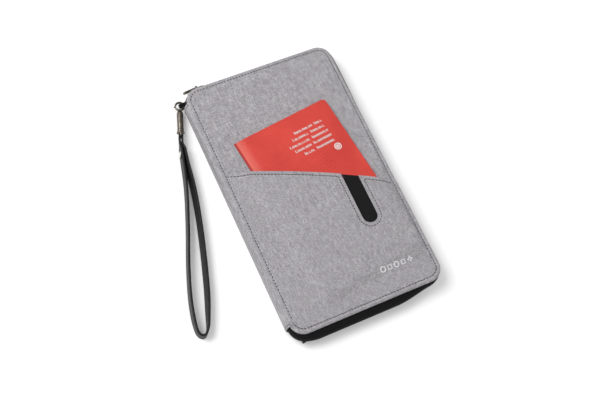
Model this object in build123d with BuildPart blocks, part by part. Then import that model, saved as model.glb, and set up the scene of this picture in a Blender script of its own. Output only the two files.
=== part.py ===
from build123d import *
import math
import os

# Zip-round travel wallet for a passport, with a wrist strap on a swivel clasp.
# Millimetres. The wallet lies on its back cover: +Z up, +Y towards the top end,
# the spine on the -X side. The origin is the centre of the back cover's outer face.

# ---- covers ----
cover_w = 133.0
cover_l = 227.0
cover_r = 12.0
wallet_t = 17.0
fabric_t = 0.8
board_t = 1.6
lining_t = 0.6
edge_w = 1.6

# ---- spine ----
spine_end = 102.0
spine_bulge = 3.0
spine_fabric_t = 0.8
spine_board_t = 1.0
spine_lining_t = 0.6
fold_gap = 0.3

# ---- zip ----
zip_side_bulge = 2.5
zip_foot_bulge = 3.5
zip_top_bulge = 0.4
zip_start = 8.5
tape_t = 0.8
tape_shelf_t = 0.6
tape_seam_w = 8.0
coil_t = 1.6
coil_h = 1.85
coil_gap = 1.3
slider_l = 8.0
slider_h = 7.2
slider_plate_t = 0.8
slider_clear = 0.3
slider_post_l = 3.0
slider_post_t = 0.8
slider_park = 16.5
lug_t = 0.8
lug_reach = 1.8
pull_l = 12.0
pull_h = 3.6
pull_t = 1.0
pin_r = 0.4
pin_clear = 0.05
pin_from_end = 1.5
lug_from_edge = 0.5
slider_round = 1.5
pull_wall = 0.35
pull_rest_turn = 5.0
pull_round = 1.2
pull_hole_l = 3.6
pull_hole_h = 1.44
pull_hole_at = 8.64
stop_l = 3.0
stop_round = 0.5

# ---- inside ----
inner_margin = 11.0
pocket_sheet_t = 0.8
document_gap = 1.2
document_pocket_l = 150.0
card_t = 0.9
card_panels = 4
card_step = 17.0
card_l = 100.0

# ---- passport, an ordinary ID-3 booklet ----
book_w = 88.0
book_l = 125.0
book_t = 2.8
book_r = 3.0
book_cover_t = 0.5
book_turn = 7.2
book_x = 5.45
book_y = -3.2
book_clear = 0.3
book_further_in = 20.0

# ---- outer pocket ----
roof_t = 1.2
pocket_wall = 1.6
mouth_left_y = 34.0
mouth_mid_x = 2.4
mouth_mid_y = 8.0
mouth_right_y = -25.5
slot_x = 30.8
slot_w = 13.0
slot_end_y = -51.5
insert_lap = 4.0
insert_t = 0.5
badge_x = 33.8
badge_y = -90.5
badge_w = 31.0
badge_t = 0.4
badge_bar = 0.8
badge_star_r = 3.0

# ---- tab, clasp and strap ----
clasp_past_fold = 4.5
clasp_from_end = 6.0
clasp_z = 4.9
clasp_turn = -110.2
tab_w = 5.6
tab_band_t = 0.6
tab_gap = 0.5
tab_round = 0.5
tab_post_x = 1.4
tab_post_y = 3.0
tab_low_z = 3.0
tab_high_z = 6.3
hook_r = 4.5
hook_wire = 0.9
gate_half_angle = 30.0
gate_clear = 0.5
gate_wire = 0.75
stem_root = 0.4
barrel_start = 5.6
barrel_round = 0.8
barrel_l = 18.0
barrel_r = 2.8
barrel_bore_r = 1.06
neck_r = 1.0
neck_l = 4.0
collar_r = 3.4
collar_gap = 0.3
collar_round = 0.4
bore_past_neck = 0.5
neck_root = 0.1
collar_t = 1.2
eye_reach = 28.0
eye_bar_r = 0.9
eye_inner_h = 7.0
eye_arm_t = 0.9
eye_arm_w = 1.8
fold_inner_r = 1.0
fold_outer_r = 2.0
fold_h = 6.4
tongue_end = 6.0
strap_w = 9.5
strap_t = 1.8
strap_gap = 0.1
rivet_r = 3.2
rivet_cap_t = 1.0
rivet_post_r = 1.0
rivet_clear = 0.05
rivet_down = 10.5
rivet_back_gap = 0.2
rivet_round = 0.35
rivet_back_r = 2.56
rivet_back_t = 0.6
route_bend = 0.45

os.makedirs("parts", exist_ok=True)

# ---- worked-out places ----
half_w = cover_w / 2
half_l = cover_l / 2
mid_z = wallet_t / 2
skin_t = fabric_t + board_t + lining_t
fold_x = -half_w
back_fold_z = skin_t
front_fold_z = wallet_t - skin_t
chain_top_y = half_l + zip_top_bulge
chain_foot_y = -half_l - zip_foot_bulge
chain_right_x = half_w + zip_side_bulge
zip_left_x = -half_w + zip_start
coil_low_z = mid_z - coil_gap / 2 - coil_h
clasp_x = fold_x - clasp_past_fold
clasp_y = half_l - clasp_from_end
turn = math.radians(clasp_turn)
along = Vector(math.cos(turn), math.sin(turn), 0)
across = Vector(-along.Y, along.X, 0)
clasp_centre = Vector(clasp_x, clasp_y, clasp_z)
eye_centre = clasp_centre + along * eye_reach
bar_z = clasp_z - eye_inner_h / 2


def finish(piece, name):
    piece.label = name
    export_step(piece, f"parts/{name}.step")


def cover_outline(inset=0.0):
    """The outline of one cover, drawn that far inside its edge."""
    radius = max(cover_r - inset, 1.0)
    RectangleRounded(cover_w - 2 * inset, cover_l - 2 * inset, radius)


def chain_outline(outset):
    """The zip's line round the open sides; it runs out past the spine side."""
    right = chain_right_x + outset
    left = -cover_w
    top = chain_top_y + outset
    foot = chain_foot_y - outset
    with Locations(((left + right) / 2, (top + foot) / 2)):
        RectangleRounded(right - left, top - foot, cover_r + outset)


def keep_open_sides():
    """Cuts away what lies on the spine side of the zip's two ends."""
    with Locations((zip_left_x - cover_w, 0)):
        Rectangle(2 * cover_w, 3 * cover_l, mode=Mode.SUBTRACT)


def chain_band(z_low, height, thick, name):
    with BuildPart() as band:
        with BuildSketch(Plane.XY.offset(z_low)):
            chain_outline(thick / 2)
            with BuildSketch(mode=Mode.SUBTRACT):
                chain_outline(-thick / 2)
            keep_open_sides()
        extrude(amount=height)
    finish(band.part, name)


def zip_tape(shelf_z, wall_z, wall_h, name):
    """A flat seam allowance on the lining, and the tape that stands up from it."""
    with BuildPart() as tape:
        with BuildSketch(Plane.XY.offset(shelf_z)):
            chain_outline(tape_t / 2)
            with BuildSketch(mode=Mode.SUBTRACT):
                cover_outline(tape_seam_w)
            keep_open_sides()
        extrude(amount=tape_shelf_t)
        with BuildSketch(Plane.XY.offset(wall_z)):
            chain_outline(tape_t / 2)
            with BuildSketch(mode=Mode.SUBTRACT):
                chain_outline(-tape_t / 2)
            keep_open_sides()
        extrude(amount=wall_h)
    finish(tape.part, name)


def cover_layer(z_low, thick, inset, name):
    with BuildPart() as layer:
        with BuildSketch(Plane.XY.offset(z_low)):
            cover_outline(inset)
        extrude(amount=thick)
    finish(layer.part, name)


def cover_edge(z_low, name):
    """The rolled fabric edge that closes the board's sides."""
    with BuildPart() as edge:
        with BuildSketch(Plane.XY.offset(z_low)):
            cover_outline()
            with BuildSketch(mode=Mode.SUBTRACT):
                cover_outline(edge_w)
        extrude(amount=board_t + lining_t)
    finish(edge.part, name)


# ---- back cover ----
cover_layer(0, fabric_t, 0, "back_cover_fabric")
cover_layer(fabric_t, board_t, edge_w, "back_cover_board")
cover_layer(fabric_t + board_t, lining_t, edge_w, "back_cover_lining")
cover_edge(fabric_t, "back_cover_edge")

with BuildPart() as document_pocket:
    pocket_w = cover_w - 2 * inner_margin
    pocket_foot = -half_l + inner_margin
    pocket_mid = pocket_foot + document_pocket_l / 2
    with BuildSketch(Plane.XY.offset(skin_t)):
        with Locations((0, pocket_mid)):
            Rectangle(pocket_w, document_pocket_l)
    extrude(amount=document_gap + pocket_sheet_t)
    with BuildSketch(Plane.XY.offset(skin_t)):
        with Locations((0, pocket_mid + pocket_wall)):
            Rectangle(pocket_w - 2 * pocket_wall, document_pocket_l)
    extrude(amount=document_gap, mode=Mode.SUBTRACT)
finish(document_pocket.part, "document_pocket")

tape_wall_h = coil_low_z - skin_t
zip_tape(skin_t, skin_t, tape_wall_h, "back_zip_tape")
chain_band(coil_low_z, coil_h, coil_t, "back_zip_coil")

# ---- front cover ----
front_low = front_fold_z
cover_layer(front_low, lining_t, edge_w, "front_cover_lining")
cover_layer(front_low + lining_t, board_t, edge_w, "front_cover_board")
cover_layer(wallet_t - fabric_t, fabric_t, 0, "front_cover_fabric")
cover_edge(front_low, "front_cover_edge")
front_coil_low = mid_z + coil_gap / 2
front_wall_low = front_coil_low + coil_h
zip_tape(front_low - tape_shelf_t, front_wall_low, tape_wall_h, "front_zip_tape")
chain_band(front_coil_low, coil_h, coil_t, "front_zip_coil")

for number in range(card_panels):
    with BuildPart() as card_panel:
        level = front_low - (number + 1) * card_t
        panel_l = card_l - number * card_step
        with BuildSketch(Plane.XY.offset(level)):
            with Locations((0, -half_l + inner_margin + panel_l / 2)):
                Rectangle(cover_w - 2 * inner_margin, panel_l)
        extrude(amount=card_t)
    finish(card_panel.part, f"card_slot_panel_{number + 1}")

# ---- spine: three layers standing between the two fold lines ----
spine_low = back_fold_z + fold_gap
spine_high = front_fold_z - fold_gap
inner_x = fold_x - fold_gap
outer_x = fold_x - spine_bulge
shoulder = 0.8


def spine_layer(x_out, x_in, end, z_inset, name):
    with BuildPart() as layer:
        with BuildSketch(Plane.XZ.offset(-end)):
            with Locations(((x_out + x_in) / 2, mid_z)):
                Rectangle(x_in - x_out, spine_high - spine_low - 2 * z_inset)
        extrude(amount=2 * end)
        if z_inset == 0:
            outside = layer.edges().filter_by(Axis.Y).group_by(Axis.X)[0]
            fillet(outside, radius=min(shoulder, 0.9 * (x_in - x_out)))
    finish(layer.part, name)


fabric_in_x = outer_x + spine_fabric_t
board_in_x = fabric_in_x + spine_board_t
lining_in_x = board_in_x + spine_lining_t
spine_layer(outer_x, fabric_in_x, spine_end, 0, "spine_fabric")
spine_layer(fabric_in_x, board_in_x, spine_end - edge_w, 0.6, "spine_board")
spine_layer(board_in_x, min(lining_in_x, inner_x), spine_end - edge_w, 0.6, "spine_lining")

# ---- passport ----
book_plane = Plane(
    origin=(book_x, book_y, wallet_t + book_clear / 2),
    x_dir=(math.cos(math.radians(book_turn)), math.sin(math.radians(book_turn)), 0),
    z_dir=(0, 0, 1),
)
with BuildPart() as passport_cover:
    with BuildSketch(book_plane):
        RectangleRounded(book_w, book_l, book_r)
    extrude(amount=book_t)
    with BuildSketch(book_plane.offset(book_cover_t)):
        with Locations((book_cover_t, 0)):
            Rectangle(book_w, 2 * book_l)
    extrude(amount=book_t - 2 * book_cover_t, mode=Mode.SUBTRACT)
finish(passport_cover.part, "passport_cover")

with BuildPart() as passport_pages:
    page_gap = 1.0
    with BuildSketch(book_plane.offset(book_cover_t)):
        with Locations((book_cover_t / 2 - page_gap / 2, 0)):
            Rectangle(book_w - book_cover_t - page_gap, book_l - 2 * page_gap)
    extrude(amount=book_t - 2 * book_cover_t)
finish(passport_pages.part, "passport_pages")

# ---- outer pocket: a flat flange sewn down, and a raised bay for the passport ----
ceiling_z = wallet_t + book_clear / 2 + book_t + book_clear
roof_z = ceiling_z + roof_t
bay_w = book_w + 2 * book_clear
bay_foot = -book_l / 2 - book_further_in - book_clear


with BuildSketch() as below_mouth:
    with BuildLine():
        mouth_left = (-half_w, mouth_left_y)
        mouth_right = (half_w, mouth_right_y)
        far_left = (-cover_w, mouth_left_y)
        far_right = (cover_w, mouth_right_y)
        Line(far_left, mouth_left)
        ThreePointArc(mouth_left, (mouth_mid_x, mouth_mid_y), mouth_right)
        Line(mouth_right, far_right)
        Polyline(far_right, (cover_w, -cover_l), (-cover_w, -cover_l), far_left)
    make_face()


def bay_outline(grow):
    """The passport's space, seen from above, that much larger on three sides."""
    with BuildSketch() as bay:
        low = bay_foot - grow
        with Locations((0, low + cover_l / 2)):
            Rectangle(bay_w + 2 * grow, cover_l)
    return bay.sketch.rotate(Axis.Z, book_turn).translate(Vector(book_x, book_y, 0))


with BuildPart() as pocket_panel:
    with BuildSketch(Plane.XY.offset(wallet_t)):
        cover_outline()
        add(below_mouth.sketch, mode=Mode.INTERSECT)
    extrude(amount=fabric_t)
    with BuildSketch(Plane.XY.offset(wallet_t)):
        cover_outline()
        add(below_mouth.sketch, mode=Mode.INTERSECT)
        add(bay_outline(pocket_wall), mode=Mode.INTERSECT)
    extrude(amount=roof_z - wallet_t)
    with BuildSketch(Plane.XY.offset(wallet_t)):
        add(bay_outline(0))
    extrude(amount=ceiling_z - wallet_t, mode=Mode.SUBTRACT)
    slot_l = cover_l
    with BuildSketch(Plane.XY.offset(ceiling_z)):
        with Locations((slot_x, slot_end_y - insert_lap + slot_l / 2)):
            Rectangle(slot_w + 2 * insert_lap, slot_l)
    extrude(amount=insert_t, mode=Mode.SUBTRACT)
    with BuildSketch(Plane.XY.offset(ceiling_z)):
        with Locations((slot_x, slot_end_y + slot_w / 2)):
            Circle(slot_w / 2)
        with Locations((slot_x, slot_end_y + slot_w / 2 + slot_l / 2)):
            Rectangle(slot_w, slot_l)
    extrude(amount=roof_t, mode=Mode.SUBTRACT)
finish(pocket_panel.part, "front_pocket_panel")

with BuildPart() as slot_insert:
    with BuildSketch(Plane.XY.offset(ceiling_z)):
        with Locations((slot_x, slot_end_y - insert_lap + slot_l / 2)):
            Rectangle(slot_w + 2 * insert_lap, slot_l)
        add(below_mouth.sketch, mode=Mode.INTERSECT)
        add(bay_outline(0), mode=Mode.INTERSECT)
    extrude(amount=insert_t)
finish(slot_insert.part, "thumb_slot_insert")

with BuildPart() as badge:
    with BuildSketch(Plane.XY.offset(wallet_t + fabric_t)):
        with Locations((badge_x, badge_y)):
            Rectangle(badge_w, badge_bar)
            RegularPolygon(badge_star_r, 4)
    extrude(amount=badge_t)
finish(badge.part, "pocket_badge")

# ---- zip slider and its pull ----
slider_x = -half_w + slider_park
gap_half = coil_t / 2 + slider_clear
plate_out = gap_half + slider_plate_t
lug_z = (pull_h / 2 + pin_clear, slider_h / 2 - lug_from_edge)
pin_y = chain_top_y + plate_out + lug_reach / 2
pull_pin_x = slider_x - slider_l / 2 + pin_from_end

with BuildPart() as slider:
    for side in (-1, 1):
        plate_y = chain_top_y + side * (gap_half + slider_plate_t / 2)
        with Locations((slider_x, plate_y, mid_z)):
            Box(slider_l, slider_plate_t, slider_h)
    fillet(slider.edges().filter_by(Axis.Y), radius=slider_round)
    with Locations((slider_x, chain_top_y, mid_z)):
        Box(slider_post_l, 2 * gap_half, slider_post_t)
    for side in (-1, 1):
        lug_mid = side * (lug_z[0] + lug_t / 2)
        with Locations((pull_pin_x, pin_y, mid_z + lug_mid)):
            Box(lug_reach, lug_reach, lug_t)
    with Locations((pull_pin_x, pin_y, mid_z)):
        Cylinder(pin_r, 2 * lug_z[0] + lug_t)
finish(slider.part, "zip_slider")

with BuildPart() as pull:
    with Locations((pull_pin_x, pin_y, mid_z)):
        Cylinder(pin_r + pin_clear + pull_wall, pull_h)
    with Locations((pull_pin_x - pull_l / 2, pin_y, mid_z)):
        Box(pull_l, pull_t, pull_h)
    fillet(pull.edges().filter_by(Axis.Y).group_by(Axis.X)[0], radius=pull_round)
    with Locations((pull_pin_x, pin_y, mid_z)):
        Cylinder(pin_r + pin_clear, pull_h, mode=Mode.SUBTRACT)
    with Locations((pull_pin_x - pull_hole_at, pin_y, mid_z)):
        Box(pull_hole_l, pull_t, pull_hole_h, mode=Mode.SUBTRACT)
pull_pin = Axis((pull_pin_x, pin_y, mid_z), (0, 0, 1))
finish(pull.part.rotate(pull_pin, pull_rest_turn), "zip_pull")

stop_h = wallet_t - 2 * coil_low_z
for place, stop_y in (("top", chain_top_y), ("foot", chain_foot_y)):
    with BuildPart() as stop:
        with Locations((zip_left_x - stop_l / 2, stop_y, coil_low_z + coil_h / 2)):
            Box(stop_l, coil_t, coil_h)
        fillet(stop.edges().filter_by(Axis.Y).group_by(Axis.X)[0], radius=stop_round)
    finish(stop.part, f"zip_stop_{place}")

# ---- strap tab: a fabric loop standing on edge at the notch above the spine ----
with BuildPart() as tab:
    tab_in_x = zip_left_x - stop_l - tab_gap
    tab_out_x = clasp_x - tab_post_x / 2
    reach = tab_in_x - tab_out_x
    for band_z in (tab_low_z, tab_high_z):
        with Locations((tab_out_x + reach / 2, clasp_y, band_z + tab_band_t / 2)):
            Box(reach, tab_post_y, tab_band_t)
    with Locations((clasp_x, clasp_y, (tab_low_z + tab_high_z + tab_band_t) / 2)):
        Box(tab_post_x, tab_post_y, tab_high_z + tab_band_t - tab_low_z)
    root_l = tab_in_x - fold_x
    with Locations((fold_x + root_l / 2, clasp_y, (tab_low_z + tab_high_z + tab_band_t) / 2)):
        Box(root_l, tab_w, tab_high_z + tab_band_t - tab_low_z)
    fillet(tab.edges().filter_by(Axis.Y).group_by(Axis.X)[0], radius=tab_round)
finish(tab.part, "strap_tab")

# ---- clasp: a hook round the tab, with a sprung gate, on a swivel barrel ----
clasp_plane = Plane(origin=clasp_centre, x_dir=along, z_dir=(0, 0, 1))
barrel_plane = Plane(origin=clasp_centre + along * barrel_start, x_dir=across, z_dir=along)
mid_r = hook_r - hook_wire
gate_side = 90.0
gate_start = gate_side - gate_half_angle
gate_end = gate_side + gate_half_angle

with BuildPart() as hook:
    with BuildSketch(Plane(origin=clasp_centre + along * mid_r, x_dir=along, z_dir=across)):
        Circle(hook_wire)
    revolve(axis=Axis(clasp_centre, (0, 0, 1)), revolution_arc=360)
    with BuildSketch(clasp_plane.offset(-2 * hook_wire)):
        with BuildLine():
            far = 3 * hook_r
            first = math.radians(-gate_end)
            last = math.radians(-gate_start)
            low_corner = (far * math.cos(first), far * math.sin(first))
            high_corner = (far * math.cos(last), far * math.sin(last))
            Polyline((0, 0), low_corner, high_corner, close=True)
        make_face()
    extrude(amount=4 * hook_wire, mode=Mode.SUBTRACT)
    stem_l = barrel_start - mid_r + stem_root
    with Locations(Plane(origin=clasp_centre + along * (mid_r - stem_root), z_dir=along)):
        Cylinder(hook_wire, stem_l, align=(Align.CENTER, Align.CENTER, Align.MIN))
finish(hook.part, "clasp_hook")

with BuildPart() as gate:
    with BuildSketch(Plane(origin=clasp_centre + along * mid_r, x_dir=along, z_dir=across)):
        Circle(gate_wire)
    revolve(axis=Axis(clasp_centre, (0, 0, 1)), revolution_arc=360)
    with BuildSketch(clasp_plane.offset(-2 * hook_wire)):
        with BuildLine():
            trim = math.degrees(gate_clear / mid_r)
            first = math.radians(-gate_end + trim)
            last = math.radians(-gate_start - trim)
            low_corner = (far * math.cos(first), far * math.sin(first))
            high_corner = (far * math.cos(last), far * math.sin(last))
            Polyline((0, 0), low_corner, high_corner, close=True)
        make_face()
    extrude(amount=4 * hook_wire, mode=Mode.INTERSECT)
finish(gate.part, "clasp_gate")

with BuildPart() as barrel:
    with Locations(barrel_plane):
        Cylinder(barrel_r, barrel_l, align=(Align.CENTER, Align.CENTER, Align.MIN))
        fillet(barrel.edges().filter_by(GeomType.CIRCLE), radius=barrel_round)
    with Locations(barrel_plane.offset(barrel_l - neck_l - bore_past_neck)):
        Cylinder(barrel_bore_r, neck_l + 2 * bore_past_neck, align=(Align.CENTER, Align.CENTER, Align.MIN),
                 mode=Mode.SUBTRACT)
finish(barrel.part, "clasp_barrel")

collar_start = barrel_start + barrel_l + collar_gap
eye_start = collar_start + collar_t
with BuildPart() as eye:
    collar_plane = Plane(origin=clasp_centre + along * collar_start, x_dir=across, z_dir=along)
    with Locations(collar_plane):
        Cylinder(collar_r, collar_t, align=(Align.CENTER, Align.CENTER, Align.MIN))
        fillet(eye.edges().filter_by(GeomType.CIRCLE), radius=collar_round)
    with Locations(collar_plane.offset(-neck_l)):
        Cylinder(neck_r, neck_l + neck_root, align=(Align.CENTER, Align.CENTER, Align.MIN))
    eye_l = eye_reach - eye_start
    eye_h = eye_inner_h + 2 * eye_arm_t
    with Locations(Plane(origin=clasp_centre + along * eye_start, x_dir=across, z_dir=along)):
        Box(eye_arm_w, eye_h, eye_arm_t, align=(Align.CENTER, Align.CENTER, Align.MIN))
    for arm_z in (bar_z - eye_arm_t, bar_z + eye_inner_h):
        arm_plane = Plane(origin=(eye_centre.X, eye_centre.Y, arm_z), x_dir=along, z_dir=(0, 0, 1))
        with BuildSketch(arm_plane):
            with Locations((-eye_l / 2, 0)):
                Rectangle(eye_l, eye_arm_w)
            Circle(eye_arm_w / 2)
        extrude(amount=eye_arm_t)
    with BuildSketch(Plane(origin=(eye_centre.X, eye_centre.Y, bar_z), z_dir=(0, 0, 1))):
        Circle(eye_bar_r)
    extrude(amount=eye_inner_h)
finish(eye.part, "swivel_eye")

# ---- wrist strap: one flat band, standing on its edge, folded to a long loop ----
with BuildPart() as strap_fold:
    fold_low = clasp_z - fold_h / 2
    with BuildSketch(Plane(origin=(eye_centre.X, eye_centre.Y, fold_low), x_dir=along, z_dir=(0, 0, 1))):
        Circle(fold_outer_r)
        with Locations((tongue_end / 2, 0)):
            Rectangle(tongue_end, 2 * strap_t + strap_gap)
        Circle(fold_inner_r, mode=Mode.SUBTRACT)
    extrude(amount=fold_h)
finish(strap_fold.part, "strap_fold")

leg_side = (strap_t + strap_gap) / 2
tongue = eye_centre + along * tongue_end
right_start = tongue + across * leg_side
left_end = tongue - across * leg_side
# the loop's bends, from the swivel eye
route = [
    (-4.53, -20.72),
    (-7.63, -44.72),
    (-14.93, -75.72),
    (-24.13, -107.22),
    (-32.63, -133.72),
    (-38.53, -148.72),
    (-42.53, -159.22),
    (-47.33, -164.62),
    (-51.93, -161.22),
    (-50.93, -150.22),
    (-46.53, -131.72),
    (-37.63, -106.22),
    (-25.23, -76.22),
    (-13.73, -45.22),
    (-8.23, -25.22),
]
points = [Vector(right_start.X, right_start.Y, strap_w / 2)]
for step_x, step_y in route:
    points.append(Vector(eye_centre.X + step_x, eye_centre.Y + step_y, strap_w / 2))
points.append(Vector(left_end.X, left_end.Y, strap_w / 2))
radii = []
for before, here, after in zip(points, points[1:], points[2:]):
    run_in = here - before
    run_out = after - here
    bend = math.radians(run_in.get_angle(run_out))
    shorter = min(run_in.length, run_out.length)
    radii.append(route_bend * shorter / math.tan(bend / 2))
print("strap radii", [round(radius, 1) for radius in radii])

leg_along = (points[-2] - points[-1]).normalized()
leg_across = Vector(-leg_along.Y, leg_along.X, 0)
rivet_at = points[-1] + leg_along * rivet_down
right_along = (points[1] - points[0]).normalized()
to_right = points[0] - rivet_at
right_down = -to_right.dot(leg_along) / right_along.dot(leg_along)
right_off = (to_right + right_along * right_down).dot(leg_across)

with BuildPart() as strap:
    with BuildLine() as strap_line:
        FilletPolyline(*points, radius=radii)
    start = strap_line.line @ 0
    heading = strap_line.line % 0
    with BuildSketch(Plane(origin=start, x_dir=(0, 0, 1), z_dir=heading)):
        Rectangle(strap_w, strap_t)
    sweep()
    strap_l = strap_line.wires()[0].length
    print("strap length", round(strap_l, 1))
    print("volume ratio", round(strap.part.volume / (strap_l * strap_w * strap_t), 4))
    with Locations(Plane(origin=rivet_at - leg_across * 2 * strap_t, z_dir=leg_across)):
        Cylinder(rivet_post_r + rivet_clear, 4 * strap_t + right_off,
                 align=(Align.CENTER, Align.CENTER, Align.MIN), mode=Mode.SUBTRACT)
finish(strap.part, "wrist_strap")

cap_low = -strap_t / 2 - rivet_cap_t
cap_high = right_off + strap_t / 2 + rivet_back_gap
with BuildPart() as rivet_cap:
    with Locations(Plane(origin=rivet_at + leg_across * cap_low, z_dir=leg_across)):
        Cylinder(rivet_r, rivet_cap_t, align=(Align.CENTER, Align.CENTER, Align.MIN))
    fillet(rivet_cap.edges().filter_by(GeomType.CIRCLE), radius=rivet_round)
finish(rivet_cap.part, "rivet_cap")

with BuildPart() as rivet_post:
    with Locations(Plane(origin=rivet_at - leg_across * strap_t / 2, z_dir=leg_across)):
        Cylinder(rivet_post_r, cap_high + strap_t / 2,
                 align=(Align.CENTER, Align.CENTER, Align.MIN))
    with Locations(Plane(origin=rivet_at + leg_across * cap_high, z_dir=leg_across)):
        Cylinder(rivet_back_r, rivet_back_t,
                 align=(Align.CENTER, Align.CENTER, Align.MIN))
finish(rivet_post.part, "rivet_post")
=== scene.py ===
"""Zip-round passport wallet with a wrist strap: the looks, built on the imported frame."""
import math

import bpy
import numpy as np
from mathutils import Matrix, Quaternion, Vector


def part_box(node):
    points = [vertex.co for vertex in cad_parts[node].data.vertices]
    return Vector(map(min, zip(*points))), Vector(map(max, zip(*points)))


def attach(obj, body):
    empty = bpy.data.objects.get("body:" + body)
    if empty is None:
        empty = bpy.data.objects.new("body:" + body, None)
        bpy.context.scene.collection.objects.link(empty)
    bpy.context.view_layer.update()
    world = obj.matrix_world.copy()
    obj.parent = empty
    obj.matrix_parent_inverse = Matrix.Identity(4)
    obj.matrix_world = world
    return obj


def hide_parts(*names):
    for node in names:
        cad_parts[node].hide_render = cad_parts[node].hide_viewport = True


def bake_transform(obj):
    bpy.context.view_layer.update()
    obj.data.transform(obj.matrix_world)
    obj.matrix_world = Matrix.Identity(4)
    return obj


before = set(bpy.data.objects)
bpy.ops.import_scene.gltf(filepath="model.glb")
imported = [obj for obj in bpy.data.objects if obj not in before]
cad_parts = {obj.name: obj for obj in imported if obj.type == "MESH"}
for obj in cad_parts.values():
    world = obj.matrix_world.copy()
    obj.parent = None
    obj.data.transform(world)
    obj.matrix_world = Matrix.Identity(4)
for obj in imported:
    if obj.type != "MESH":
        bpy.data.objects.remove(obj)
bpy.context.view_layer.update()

mm = 0.001

# ---- sizes read from the frame ----
cover_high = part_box("front_cover_fabric")[1]
half_w = cover_high.x
half_l = cover_high.y
top_z = cover_high.z
front_low_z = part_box("front_cover_lining")[0].z
back_high_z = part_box("back_cover_lining")[1].z
mid_z = top_z / 2
cover_r = 12 * mm
fold_x = -half_w
book_low, book_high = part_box("passport_cover")
book_w = 88 * mm
book_l = 125 * mm
book_turn = math.radians(7.2)
book_mid = Vector(((book_low.x + book_high.x) / 2, (book_low.y + book_high.y) / 2, 0))


# ------------------------------------------------------------------ small tools
def clear_selection():
    if bpy.context.object and bpy.context.object.mode != "OBJECT":
        bpy.ops.object.mode_set(mode="OBJECT")
    bpy.ops.object.select_all(action="DESELECT")


def pick(piece):
    clear_selection()
    piece.select_set(True)
    bpy.context.view_layer.objects.active = piece


def settle(piece, name):
    """Names the piece and puts its place into its mesh."""
    piece.name = name
    piece.data.name = name
    pick(piece)
    bpy.ops.object.transform_apply(location=True, rotation=True, scale=True)
    return piece


def apply_all(piece):
    pick(piece)
    for modifier in list(piece.modifiers):
        bpy.ops.object.modifier_apply(modifier=modifier.name)


def with_wall(piece, thickness, offset):
    """Gives a sheet its thickness, then puts all its modifiers into the mesh."""
    wall = piece.modifiers.new("cloth", "SOLIDIFY")
    wall.thickness = thickness
    wall.offset = offset
    apply_all(piece)


def join(first, *others):
    """Makes the others part of the first piece, which keeps its name."""
    clear_selection()
    for piece in (first, *others):
        piece.select_set(True)
    bpy.context.view_layer.objects.active = first
    bpy.ops.object.join()
    return bpy.context.object


def get_points(piece):
    points = np.empty(len(piece.data.vertices) * 3)
    piece.data.vertices.foreach_get("co", points)
    return points.reshape(-1, 3)


def set_points(piece, points):
    piece.data.vertices.foreach_set("co", np.ascontiguousarray(points).ravel())
    piece.data.update()


def smooth(piece, angle=40):
    pick(piece)
    bpy.ops.object.shade_smooth_by_angle(angle=math.radians(angle))


def outward(piece):
    pick(piece)
    bpy.ops.object.mode_set(mode="EDIT")
    bpy.ops.mesh.select_all(action="SELECT")
    bpy.ops.mesh.remove_doubles(threshold=0.000002)
    bpy.ops.mesh.normals_make_consistent(inside=False)
    bpy.ops.object.mode_set(mode="OBJECT")


def dress(piece, material, body, slot=None, *nodes):
    piece.data.materials.clear()
    piece.data.materials.append(material)
    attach(piece, body)
    if nodes:
        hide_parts(*nodes)
    return piece


def ease(t):
    t = np.clip(t, 0, 1)
    return t * t * (3 - 2 * t)


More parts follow.
